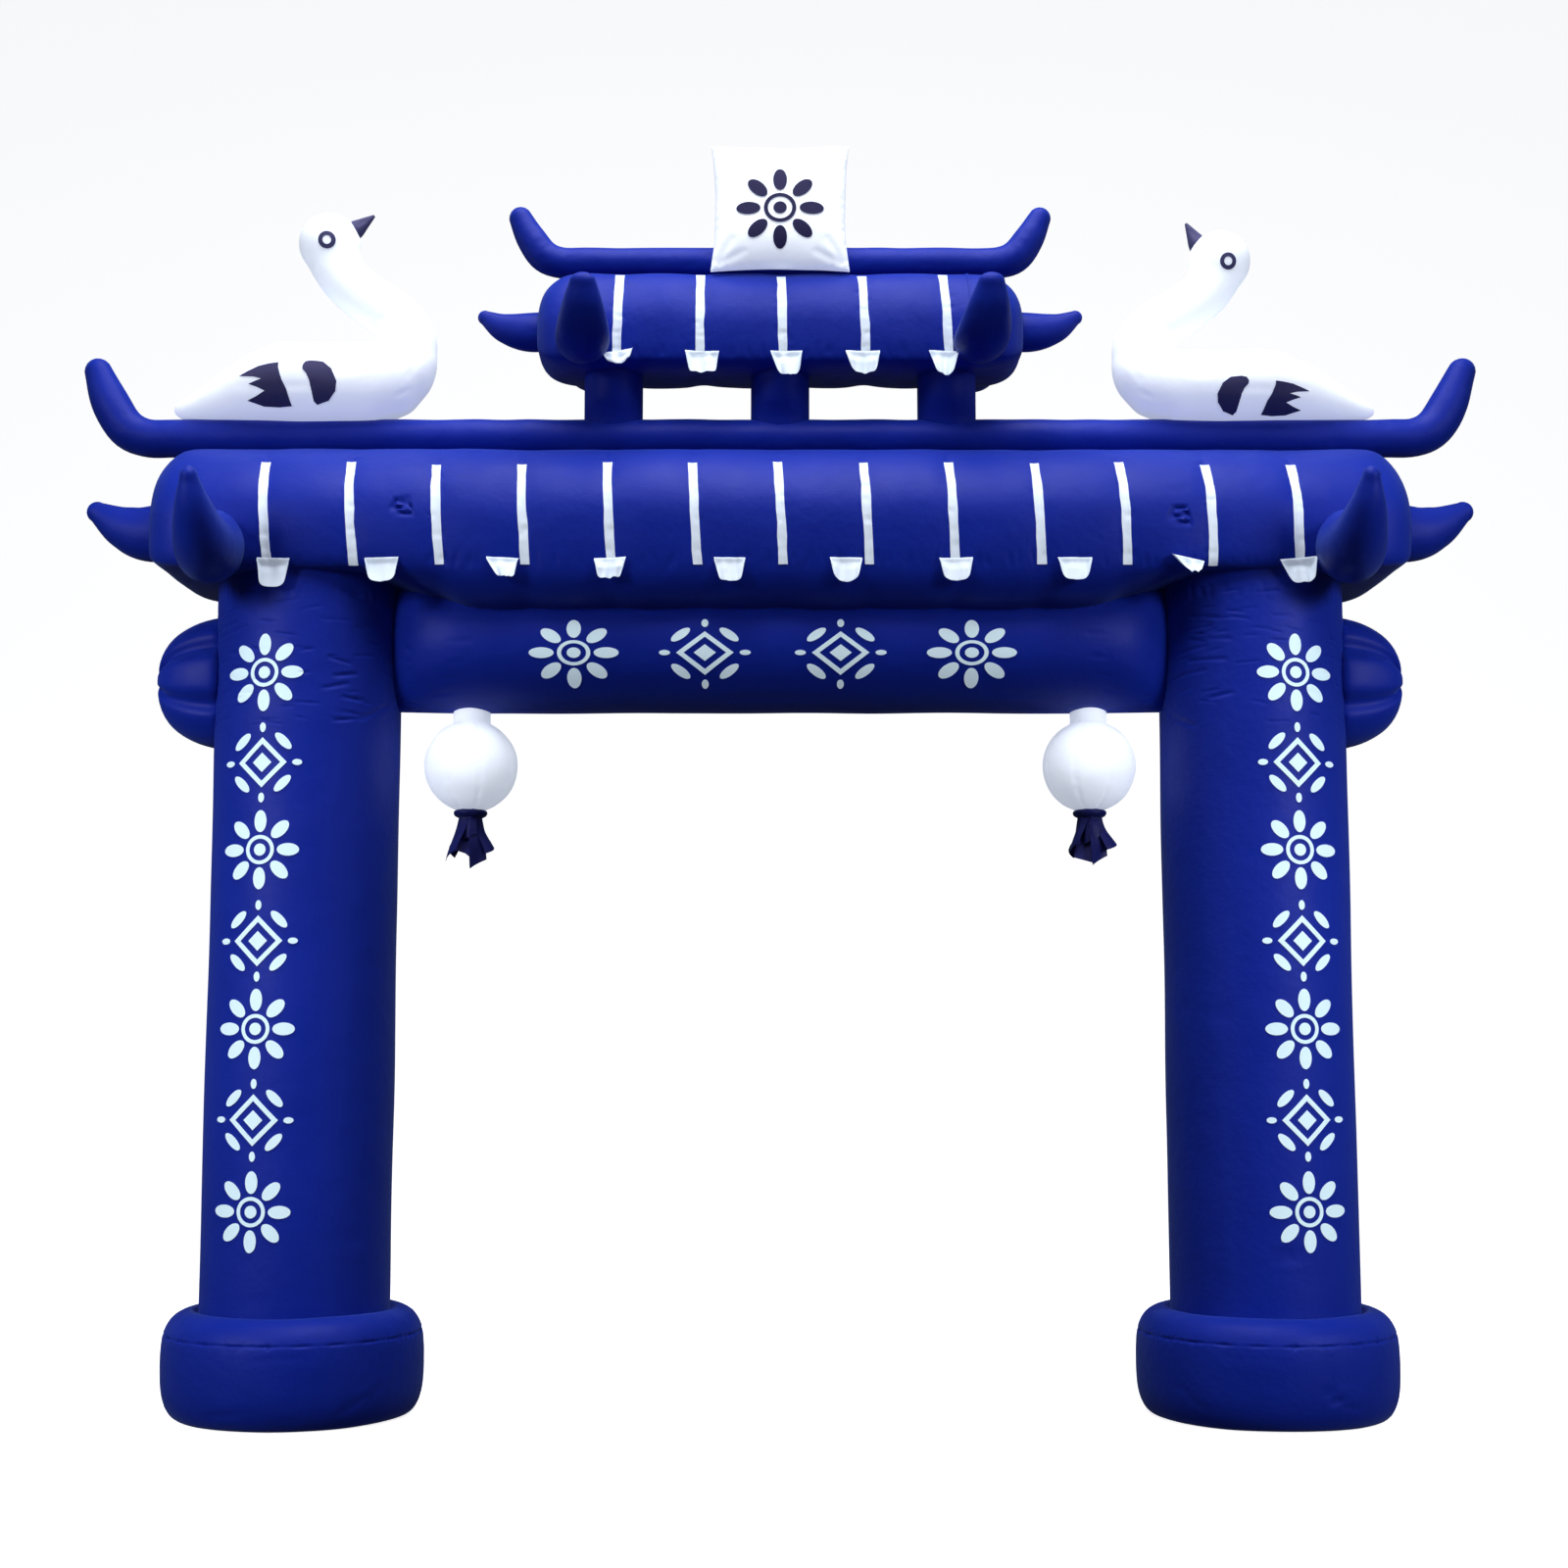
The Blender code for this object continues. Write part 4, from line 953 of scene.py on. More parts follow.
# the upper front horns both lean a little to the right
FRONT_LEAN = {"main": 0.0, "upper": 0.030}
Horns = namedtuple("Horns", "prefix x root_width tip_width front end")
HORNS = (
    Horns("main", 2.414, 1.00, 0.85,
          ((0.38, 3.71, 0.145), (0.54, 3.65, 0.150), (0.68, 3.68, 0.125), (0.80, 3.77, 0.087),
           (0.868, 3.875, 0.043)),
          ((2.58, 3.86, 0.130), (2.80, 3.83, 0.127), (2.93, 3.86, 0.097), (3.048, 3.928, 0.048))),
    Horns("upper", 0.872, 1.12, 1.45,
          ((0.12, 4.66, 0.080), (0.27, 4.63, 0.092), (0.40, 4.65, 0.084), (0.50, 4.72, 0.064),
           (0.556, 4.802, 0.040)),
          ((0.96, 4.77, 0.083), (1.12, 4.755, 0.089), (1.24, 4.775, 0.067),
           (1.33, 4.823, 0.033))),
)


def flipped(obj, x=1, y=1):
    """Mirror a mesh through the middle and turn its faces out again."""
    obj.data.transform(Matrix.Diagonal((x, y, 1, 1)))
    if x * y < 0:
        obj.data.flip_normals()
    return obj


for horns in HORNS:
    front_route = smooth_line([(0.0, -out, z, radius) for out, z, radius in horns.front], 34)
    front = tube(horns.prefix + "_front_petal_right", domed(front_route, False, True), 40)
    for vert in front.data.vertices:
        share = min(1.0, max(0.0, -vert.co.y / -front_route[-1][1]))
        vert.co.x *= horns.root_width + (horns.tip_width - horns.root_width) * share
        vert.co.x += FRONT_LEAN[horns.prefix] * share * share
    sides = [(side * 0.07, y, z) for side in (-1, 1) for _, y, z, _ in front_route[4:28:6]]
    press_creases(front, [crease for part, seed in ((sides[:4], 71), (sides[4:], 72))
                          for crease in puckers(part, (0, -0.7, 0.3), 0.05, 0.06, 0.013,
                                                0.006, seed)])
    end_route = smooth_line([(out, 0.0, z, radius) for out, z, radius in horns.end], 34)
    end = tube(horns.prefix + "_end_petal_right", domed(end_route, False, True), 40)
    end.data.transform(Matrix.Diagonal((1, HORN_FLATNESS, 1, 1)))
    rows = [(x, -radius * 0.75, z - radius * 0.2) for x, _, z, radius in end_route[2:24:5]]
    press_creases(end, puckers(rows, (0.6, 0, -0.5), 0.04, 0.05, 0.012, 0.006, seed=73))

    made = {("end", "right"): end,
            ("end", "left"): flipped(copy_of(end, horns.prefix + "_end_petal_left"), x=-1),
            ("front", "left"): copy_of(front, horns.prefix + "_front_petal_left"),
            ("rear", "right"): flipped(copy_of(front, horns.prefix + "_rear_petal_right"), y=-1),
            ("rear", "left"): flipped(copy_of(front, horns.prefix + "_rear_petal_left"), y=-1),
            ("front", "right"): front}
    for (face, side), horn in made.items():
        if face != "end":
            shift = horns.x if side == "right" else -horns.x
            lift = REAR_LIFT if face == "rear" and horns.prefix == "upper" else 0.0
            horn.data.transform(Matrix.Translation((shift, 0, lift)))
        hand_over(horn, BLUE, ["%s_%s_horn_%s" % (horns.prefix, face, side)])
print("Horns made:", 6 * len(HORNS))

# %% [markdown]
# ## Posts
#
# Three short posts carry the upper roof. They are round above and gathered from front to
# back where they are sewn to the ridge.

# %% Posts
POST_X = 0.747
POST_RADIUS = 0.132
POST_RINGS = ((4.66, 1.0), (4.60, 1.0), (4.54, 1.0), (4.49, 1.0), (4.44, 0.95), (4.40, 0.84),
              (4.36, 0.66), (4.32, 0.55), (4.28, 0.50))
for name, node, x in (("left_post", "post_left", -POST_X), ("middle_post", "post_middle", 0.0),
                      ("right_post", "post_right", POST_X)):
    rings = [[Vector((x + POST_RADIUS * cos(a), POST_RADIUS * share * sin(a), z))
              for a in np.linspace(0, 2 * pi, 32, endpoint=False)] for z, share in POST_RINGS]
    post = loft(name, rings)
    apply_modifier(post, "SUBSURF", levels=2, render_levels=2)
    foot = [(x + dx, -0.10, 4.395) for dx in np.linspace(-0.11, 0.11, 7)]
    head = [(x + dx, -0.125, 4.535) for dx in np.linspace(-0.11, 0.11, 7)]
    creases = puckers(foot, (0, 0.1, 0.9), 0.025, 0.035, 0.010, 0.004, seed=81)
    creases += puckers(head, (0, 0, 1), 0.030, 0.025, 0.010, 0.004, seed=82)
    press_creases(post, creases)
    hand_over(post, BLUE, [node])
print("Posts stand at", (-POST_X, 0.0, POST_X))

# %% [markdown]
# ## White strips
#
# A strip is a folded tape of white cloth, sewn flat on the roof from near the ridge to the
# eave. A narrow grid is made in front of the roof, its edges are moved in and out a little
# as hand sewing leaves them, and a Shrinkwrap modifier lays it on the swollen cloth. It
# is then given a thickness.

# %% Lay a strip of cloth on what is behind it
def lay_on(piece, target, gap, face=-1):
    """Project a piece straight on to the cloth, from the front (-1) or the back (1)."""
    apply_modifier(piece, "SHRINKWRAP", target=target, wrap_method="PROJECT",
                   use_project_y=True, use_positive_direction=face < 0,
                   use_negative_direction=face > 0, offset=gap, wrap_mode="ABOVE_SURFACE")


def cloth_area(obj):
    """The area of a single sheet, before it is given a thickness."""
    return sum(face.area for face in obj.data.polygons)


def bent_grid(name, columns, rows, place):
    """Add a grid and move each point to place(u, v), with u and v from 0 to 1."""
    clear_selection()
    bpy.ops.mesh.primitive_grid_add(x_subdivisions=columns, y_subdivisions=rows, size=1.0)
    obj = bpy.context.object
    obj.name = name
    for vert in obj.data.vertices:
        vert.co = place(vert.co.x + 0.5, vert.co.y + 0.5)
    obj.data.update()
    return obj


def thicken(obj, thickness, face=-1):
    """Turn the sheet to the front (-1) or the back (1), then give it a thickness."""
    close_up(obj)
    facing = sum(side.normal.y * side.area for side in obj.data.polygons)
    if facing * face < 0:
        obj.data.flip_normals()
    apply_modifier(obj, "SOLIDIFY", thickness=thickness, offset=1.0)


STRIP_WIDTH = 0.040
Strips = namedtuple("Strips", "prefix roof body top_share")
for strips in (Strips("main", MAIN_ROOF, main_roof, 0.76), Strips("upper", UPPER_ROOF,
                                                                    upper_roof, 0.89)):
    roof = strips.roof
    for index in range(roof.strips):
        rng = np.random.default_rng(100 + index)
        top = strips.top_share + rng.uniform(-0.02, 0.015)
        wobble = [rng.uniform(-0.0016, 0.0016, 9) for _ in range(2)]

        def strip_place(u, v):
            share = top * v
            stray = np.interp(v * 8, range(9), wobble[0])
            edge = np.interp(v * 8, range(9), wobble[1]) * (1 if u > 0.5 else -1)
            x = strip_x(roof, index, share) + (u - 0.5) * STRIP_WIDTH + stray + edge
            return x, -1.2, roof.eave + 0.004 + (roof.top - roof.eave) * share

        strip = bent_grid("%s_white_strip_%02d" % (strips.prefix, index + 1), 4, 48, strip_place)
        lay_on(strip, strips.body, 0.0022)
        area = cloth_area(strip)
        thicken(strip, 0.0016)
        hand_over(strip, SHADED_TAPE, ["%s_strip_%02d" % (strips.prefix, index + 1)])
    print(strips.prefix, "strips:", roof.strips)

# %% [markdown]
# ## Eave flaps
#
# Under the eave hang small white flaps, round at the bottom like the end of a roof tile.
# Each is a doubled piece of cloth with a hem along its straight top, a little wider than
# the body below. No two hang alike: some are turned, some curl, and those of the upper
# roof are crumpled. A grid is bent to the outline, then given folds that grow downwards.

# %% Flaps
# width is the hem's, drop the height; left_in and right_in say how far the lower corners
# are drawn in, and blunt how square the bottom is
Flap = namedtuple("Flap", "x width drop left_in right_in blunt tilt flare fold crush node")
MAIN_FLAPS = (
    Flap(-2.156, 0.142, 0.124, 0.00, 0.08, 3.8, 2, 0.010, 0.003, 0.05, None),
    Flap(-1.694, 0.146, 0.105, 0.06, 0.06, 3.4, -1, 0.014, 0.003, 0.08, "main_drip_01"),
    Flap(-1.179, 0.138, 0.085, 0.62, 0.06, 6.0, 2, 0.020, 0.006, 0.20, "main_drip_02"),
    Flap(-0.723, 0.137, 0.089, 0.05, 0.28, 8.0, -3, 0.014, 0.008, 0.20, None),
    Flap(-0.214, 0.135, 0.104, 0.26, 0.08, 5.0, 1, 0.010, 0.004, 0.12, "main_drip_03"),
    Flap(0.281, 0.139, 0.108, 0.06, 0.06, 2.5, 0, 0.012, 0.004, 0.10, "main_drip_04"),
    Flap(0.748, 0.144, 0.100, 0.10, 0.06, 3.4, -1, 0.014, 0.005, 0.10, None),
    Flap(1.253, 0.146, 0.100, 0.12, 0.05, 3.0, 0, 0.016, 0.004, 0.10, "main_drip_05"),
    Flap(1.735, 0.145, 0.062, 0.95, 0.00, 3.0, 11, 0.026, 0.009, 0.55, "main_drip_06"),
    Flap(2.204, 0.156, 0.107, 0.40, 0.02, 3.8, -5, 0.012, 0.005, 0.15, None),
)
UPPER_FLAPS = (
    Flap(-0.714, 0.137, 0.070, 0.15, 0.10, 2.0, -8, 0.020, 0.011, 0.90, None),
    Flap(-0.343, 0.151, 0.100, 0.14, -0.05, 9.0, 2, 0.014, 0.007, 0.20, None),
    Flap(0.028, 0.142, 0.112, 0.42, -0.04, 3.6, 1, 0.018, 0.007, 0.15, None),
    Flap(0.364, 0.153, 0.103, 0.26, 0.04, 3.4, 0, 0.012, 0.006, 0.12, None),
    Flap(0.720, 0.130, 0.118, 0.52, 0.24, 4.0, 1, 0.024, 0.009, 0.25, None),
)
HEM_SHARE = 0.18


def hang_flap(name, roof, body, flap, seed):
    """Bend a grid to one flap's outline and folds, just clear of the roof."""
    rng = np.random.default_rng(seed)
    phase = rng.uniform(0, 2 * pi, 3)
    ragged = rng.uniform(-1, 1, 12)
    tilt = radians(flap.tilt)
    head_z = roof.eave + 0.030

    def flap_place(u, v):
        c = 2 * u - 1
        t = 1 - v
        bow = max(0.0, 1 - abs(c) ** flap.blunt) ** (1 / flap.blunt)
        depth = t * (HEM_SHARE + (1 - HEM_SHARE) * bow)
        depth *= 1 + 0.16 * flap.crush * np.interp(u * 11, range(12), ragged)
        lower = max(0.0, depth - HEM_SHARE) / (1 - HEM_SHARE)
        half = flap.width / 2 * (1 - 0.06 * min(1.0, depth / HEM_SHARE) ** 4)
        flat_x = -half * (1 - flap.left_in * lower) * (1 - u)
        flat_x += half * (1 - flap.right_in * lower) * u
        flat_z = -depth * flap.drop
        x = flap.x + cos(tilt) * flat_x + sin(tilt) * flat_z
        z = head_z - sin(tilt) * flat_x + cos(tilt) * flat_z
        folds = (sin(c * 5.0 + phase[0]) + 0.6 * sin(c * 9.0 + phase[1] + 2 * t)
                 + 0.5 * sin(t * 7.0 * (0.4 + flap.crush) + phase[2]))
        hem_lift = 0.0035 * max(0.0, 1 - abs(depth - 0.07) / 0.10)
        out = 0.004 + hem_lift + flap.flare * t * t + flap.fold * min(1.0, 2 * t) * (folds + 2.1)
        behind = on_front(body, x, max(z, roof.eave + 0.004))
        return x, behind[1] - out, z

    piece = bent_grid(name, 20, 16, flap_place)
    area = cloth_area(piece)
    thicken(piece, 0.0022)
    apply_modifier(piece, "SUBSURF", levels=1, render_levels=1)
    hand_over(piece, SHADED_TAPE, [flap.node] if flap.node else ())


for prefix, roof, body, flaps in (("main", MAIN_ROOF, main_roof, MAIN_FLAPS),
                                  ("upper", UPPER_ROOF, upper_roof, UPPER_FLAPS)):
    for number, flap in enumerate(flaps):
        hang_flap("%s_eave_flap_%02d" % (prefix, number + 1), roof, body, flap, 200 + number)
    print(prefix, "flaps:", len(flaps))

# %% [markdown]
# ## Pillow
#
# The pillow is two squares of cloth sewn round the edge and blown up. The air pulls the
# middle of each side inwards, so the corners stand out. Two grids are bent to that form
# and merged along the seam. A cloth simulation is not used, because its pressure rolls
# the thin rim over, and this rim is flat and plain to see.

# %% Pillow
PILLOW_LOW, PILLOW_HIGH = (np.array(corner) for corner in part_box("pillow"))
PILLOW_SIZE = PILLOW_HIGH - PILLOW_LOW
PILLOW_MIDDLE = (PILLOW_HIGH + PILLOW_LOW) / 2
DRAWN_IN = np.array((0.060, 0.0, 0.045))
HEM = 0.006


def pillow_point(u, w, face):
    """A point of the pillow, with u and w from -1 to 1 across and up."""
    across = u * (1 - DRAWN_IN[0] * (1 - w * w))
    up = w * (1 - DRAWN_IN[2] * (1 - u * u))
    plump = max(0.0, (1 - abs(u) ** 3.2) * (1 - abs(w) ** 3.2)) ** 0.60
    rim = 1 - max(abs(u), abs(w))
    out = face * (HEM * min(1.0, rim / 0.02) + (PILLOW_SIZE[1] / 2 - HEM) * plump)
    return PILLOW_MIDDLE + np.array((across * PILLOW_SIZE[0] / 2, out, up * PILLOW_SIZE[2] / 2))


def pillow_place(face):
    """Where each point of a grid goes, closer together beside the seam."""
    def place(u, v):
        return pillow_point(sin(pi * (u - 0.5)) * 0.5 + (u - 0.5), sin(pi * (v - 0.5)) * 0.5
                            + (v - 0.5), face)
    return place


pillow_front = bent_grid("ridge_pillow", 76, 76, pillow_place(-1))
pillow_back = bent_grid("pillow_back", 76, 76, pillow_place(1))
pillow = joined([pillow_front, pillow_back], "ridge_pillow")
close_up(pillow)
rim = [(-1, -1), (0, -1), (1, -1), (1, 0), (1, 1), (0, 1), (-1, 1), (-1, 0), (-1, -1)]
sides = [side for side in ((0, 0, 1), (-1, 0, 0), (0, 0, -1), (1, 0, 0)) for _ in range(2)]
creases = puckers([pillow_point(0.95 * u, 0.95 * w, -1) for u, w in rim], sides, 0.040, 0.040,
                  0.011, 0.0045, seed=91)
for u, w in ((-1, -1), (1, -1), (1, 1), (-1, 1)):
    for lean in (0.80, 1.15):
        creases.append(Crease(pillow_point(0.93 * u, 0.93 * w, -1),
                              pillow_point(0.60 * u * lean, 0.60 * w / lean, -1), 0.022, 0.006))
swell(pillow, 0.004, 0.16)
press_creases(pillow, creases)
hand_over(pillow, WHITE, ["pillow"])
print("Pillow points:", len(pillow.data.vertices), "creases:", len(creases))

# %% [markdown]
# ## Swans
#
# A swan is three bags that run into each other: a long body, a bent neck and a round head.
# Modelled apart they would meet in hard lines, so they are joined, remeshed into one skin
# with small even cells, and smoothed until the joins are soft.

# %% Swan shapes
BODY_RINGS = ((0.000, 0.270, 0.030, 0.035), (0.012, 0.262, 0.070, 0.075),
              (0.035, 0.245, 0.108, 0.115), (0.120, 0.195, 0.157, 0.175),
              (0.260, 0.165, 0.184, 0.222), (0.480, 0.160, 0.186, 0.246),
              (0.700, 0.163, 0.184, 0.250), (0.860, 0.130, 0.148, 0.205),
              (0.980, 0.088, 0.104, 0.145), (1.090, 0.055, 0.062, 0.085),
              (1.160, 0.043, 0.036, 0.045), (1.178, 0.040, 0.016, 0.018))
NECK_POINTS = ((0.200, 0.190, 0.125), (0.150, 0.275, 0.142), (0.142, 0.385, 0.137),
               (0.205, 0.482, 0.121), (0.318, 0.562, 0.115), (0.415, 0.645, 0.113),
               (0.470, 0.735, 0.118), (0.490, 0.800, 0.128))
HEAD = (0.492, 0.815, 0.1415)
RIDGE_TOP = 4.350
Swan = namedtuple("Swan", "side breast_x height_scale beak_tilt beak_out beak_down "
                          "eye_x eye_z eye_radius")
SWANS = (Swan("left", -1.545, 1.0, 38, 0.018, 0.006, -2.025, 5.14, 0.038),
         Swan("right", 1.494, 0.90, 62, 0.040, 0.022, 2.000, 5.043, 0.036))


def swan_place(swan, back, height):
    """A point beside the ridge's middle line, measured back from the breast."""
    inward = -1 if swan.breast_x > 0 else 1
    return swan.breast_x - inward * back, RIDGE_TOP + height * swan.height_scale


def make_swan(swan):
    """Join body, neck and head into one smooth skin."""
    rings = []
    for back, centre, half_height, half_width in BODY_RINGS:
        x, z = swan_place(swan, back, centre)
        rings.append([Vector((x, half_width * cos(a),
                              z + half_height * swan.height_scale * sin(a)))
                      for a in np.linspace(0, 2 * pi, 24, endpoint=False)])
    body = loft("swan_body", rings)
    route = []
    for back, height, radius in NECK_POINTS:
        x, z = swan_place(swan, back, height)
        route.append((x, 0.0, z, radius))
    neck = tube("swan_neck", smooth_line(route, 26), 28)
    head_x, head_z = swan_place(swan, HEAD[0], HEAD[1])
    clear_selection()
    bpy.ops.mesh.primitive_uv_sphere_add(segments=32, ring_count=20, radius=HEAD[2],
                                         location=(head_x, 0, head_z))
    head = bpy.context.object
    bpy.ops.object.transform_apply(location=True, rotation=True, scale=True)
    bird = joined([body, neck, head], swan.side + "_white_swan")
    apply_modifier(bird, "REMESH", mode="VOXEL", voxel_size=0.013)
    apply_modifier(bird, "SMOOTH", factor=0.5, iterations=22)
    return bird


birds = {}
for swan in SWANS:
    birds[swan.side] = make_swan(swan)
    print(swan.side, "swan points:", len(birds[swan.side].data.vertices))

# %% [markdown]
# Seams run down the breast and along the neck, the cloth gathers under the chin and
# inside the neck's bends, and long soft folds lie along the body.

# %% Swan creases
SWAN_FOLDS = (
    # back, height, side, back, height, side, width, depth
    (0.395, 0.760, 0.085, 0.375, 0.700, 0.060, 0.014, 0.007),
    (0.460, 0.690, 0.115, 0.365, 0.690, 0.085, 0.015, 0.006),
    (0.435, 0.655, 0.110, 0.330, 0.672, 0.055, 0.013, 0.005),
    (0.400, 0.600, 0.110, 0.300, 0.645, 0.060, 0.015, 0.005),
    (0.345, 0.545, 0.110, 0.262, 0.600, 0.060, 0.015, 0.005),
    (0.270, 0.480, 0.115, 0.205, 0.575, 0.055, 0.016, 0.004),
    (0.300, 0.440, 0.060, 0.215, 0.430, 0.125, 0.016, 0.006),
    (0.300, 0.395, 0.070, 0.200, 0.385, 0.135, 0.016, 0.005),
    (0.280, 0.345, 0.150, 0.120, 0.330, 0.140, 0.016, 0.004),
    (0.180, 0.210, 0.180, 0.420, 0.150, 0.240, 0.024, 0.005),
    (0.260, 0.275, 0.190, 0.520, 0.235, 0.225, 0.024, 0.004),
    (0.480, 0.090, 0.235, 0.860, 0.100, 0.195, 0.026, 0.004),
    (0.700, 0.270, 0.200, 0.980, 0.140, 0.120, 0.022, 0.004),
    (0.840, 0.180, 0.170, 1.080, 0.075, 0.070, 0.018, 0.004),
    (0.100, 0.120, 0.110, 0.160, 0.060, 0.140, 0.018, 0.005),
    (0.060, 0.270, 0.110, 0.110, 0.150, 0.150, 0.020, 0.004),
)
for swan in SWANS:
    creases = []
    for a_back, a_height, a_side, b_back, b_height, b_side, width, depth in SWAN_FOLDS:
        ax, az = swan_place(swan, a_back, a_height)
        bx, bz = swan_place(swan, b_back, b_height)
        for face in (-1, 1):
            creases.append(Crease((ax, face * a_side, az), (bx, face * b_side, bz), width, depth))
    press_creases(birds[swan.side], creases)
    hand_over(birds[swan.side], WHITE, ["swan_" + swan.side], smooth=70)
print("Folds on a swan:", len(creases))

# %% [markdown]
# The beak is a little cone of slate cloth, folded flat at the sides.

# %% Beaks
for swan in SWANS:
    inward = -1 if swan.breast_x > 0 else 1
    head_x, head_z = swan_place(swan, HEAD[0], HEAD[1])
    rise = radians(swan.beak_tilt)
    aim = Vector((inward * cos(rise), 0.0, sin(rise)))
    centre = Vector((head_x + inward * swan.beak_out, 0.0, head_z - swan.beak_down))
    taper = ((0.100, 0.044), (0.130, 0.040), (0.165, 0.028), (0.200, 0.016), (0.228, 0.006))
    route = [(*(centre + aim * out), radius) for out, radius in smooth_line(taper, 16)]
    beak = tube(swan.side + "_beak", route, 24)
    creases = []
    for face in (-1, 1):
        root = centre + aim * 0.13 + Vector((0, face * 0.045, 0))
        near_tip = centre + aim * 0.19 + Vector((0, face * 0.020, 0))
        creases.append(Crease(tuple(root), tuple(near_tip), 0.012, 0.006))
    press_creases(beak, creases)
    hand_over(beak, SLATE, ["beak_" + swan.side])
print("Beak length:", round(taper[-1][0] - HEAD[2], 3), "m")

# %% [markdown]
# The eye is a dark ring with a pale middle, and two dark patches stand for wing feathers:
# one like a half moon, one with three prongs that point to the tail. They are cut flat,
# laid on both sides of the body with the Shrinkwrap modifier, and thickened.

# %% Eyes and feather patches
def flat_patch(name, outlines, y, cuts=2):
    """Fill flat outlines of (x, z) points, each a fan round its middle, at one y."""
    parts = []
    for outline in outlines:
        clear_selection()
        bpy.ops.mesh.primitive_circle_add(vertices=len(outline), radius=0.1,
                                          fill_type="TRIFAN")
        part = bpy.context.object
        middle = np.mean(outline, axis=0)
        rim = 0
        for vert in part.data.vertices:
            if vert.co.length < 0.01:
                vert.co = (middle[0], y, middle[1])
            else:
                vert.co = (outline[rim][0], y, outline[rim][1])
                rim += 1
        parts.append(part)
    patch = joined(parts, name)
    with editing(patch):
        bpy.ops.mesh.subdivide(number_cuts=cuts)
    return patch


def ring_outlines(x, z, outer, inner, parts=28):
    """A flat ring as short four-sided outlines."""
    outlines = []
    for k in range(parts):
        a, b = 2 * pi * k / parts, 2 * pi * (k + 1) / parts
        outlines.append([(x + r * cos(t), z + r * sin(t))
                         for r, t in ((outer, a), (outer, b), (inner, b), (inner, a))])
    return outlines


def ellipse(x, z, wide, high, turn=0.0, parts=24):
    """An ellipse of points, turned by an angle in degrees."""
    c, s = cos(radians(turn)), sin(radians(turn))
    return [(x + c * wide * cos(t) - s * high * sin(t), z + s * wide * cos(t) + c * high * sin(t))
            for t in np.linspace(0, 2 * pi, parts, endpoint=False)]


def lay_patch(patch, target, face, gap, thickness):
    """Project a patch on to the cloth from the front (-1) or back (1), and thicken it."""
    lay_on(patch, target, gap, face)
    area = cloth_area(patch)
    thicken(patch, thickness, face)
    return area


# along runs from 0 at the tail to 1 at the breast, height from 0 to 1
HALF_MOON = [((0.00, 0.87), (0.08, 0.97), (0.25, 1.00), (0.60, 0.97), (0.85, 0.80), (1.00, 0.50),
              (0.95, 0.28), (0.72, 0.08), (0.36, 0.00), (0.27, 0.07), (0.24, 0.30), (0.20, 0.50),
              (0.12, 0.66), (0.00, 0.78))]
FORKED = [((0.46, 0.60), (0.40, 0.92), (0.62, 0.97), (0.80, 1.00), (0.80, 0.86), (0.86, 0.58),
           (0.94, 0.36), (1.00, 0.02), (0.75, 0.00), (0.45, 0.02), (0.51, 0.33)),
          ((0.00, 0.70), (0.20, 0.82), (0.40, 0.92), (0.46, 0.60), (0.30, 0.66)),
          ((0.19, 0.50), (0.33, 0.56), (0.46, 0.60), (0.51, 0.33), (0.36, 0.42)),
          ((0.13, 0.14), (0.32, 0.22), (0.51, 0.33), (0.45, 0.02))]
PatchPlace = namedtuple("PatchPlace", "near far low high")
MOON_PLACES = {"left": PatchPlace(-1.949, -2.096, 4.375, 4.552),
               "right": PatchPlace(1.924, 2.057, 4.345, 4.482)}
FORK_PLACES = {"left": PatchPlace(-2.157, -2.381, 4.368, 4.542),
               "right": PatchPlace(2.135, 2.334, 4.345, 4.462)}


def placed(outlines, place):
    """Stretch a set of outlines to their place on a swan."""
    return [[(place.far + (place.near - place.far) * along,
              place.low + (place.high - place.low) * height) for along, height in outline]
            for outline in outlines]


for swan in SWANS:
    bird = birds[swan.side]
    for face, where in ((-1, "front"), (1, "rear")):
        moon = placed(HALF_MOON, MOON_PLACES[swan.side])
        fork = placed(FORKED, FORK_PLACES[swan.side])
        for label, outlines in (("moon", moon), ("fork", fork)):
            patch = flat_patch("%s_%s_feather_%s" % (swan.side, where, label), outlines,
                               face * 0.9)
            area = lay_patch(patch, bird, face, 0.0025, 0.0016)
            hand_over(patch, SLATE)
            wide, tall = np.ptp([point for outline in outlines for point in outline], axis=0)
        eye = flat_patch("%s_%s_eye_ring" % (swan.side, where),
                         ring_outlines(swan.eye_x, swan.eye_z, swan.eye_radius,
                                       swan.eye_radius * 0.50), face * 0.9, cuts=1)
        area = lay_patch(eye, bird, face, 0.0025, 0.0016)
        hand_over(eye, SLATE)
        side = swan.eye_radius * 2
print("Patches on each swan:", 6)

# %% [markdown]
# ## Ball lanterns
#
# A lantern is a ball of eight gores with a short neck that is sewn into the lintel. The
# ball and neck are one spun outline. Between the gores the stitching draws the cloth in,
# and below the neck the gathered cloth radiates in short puckers.

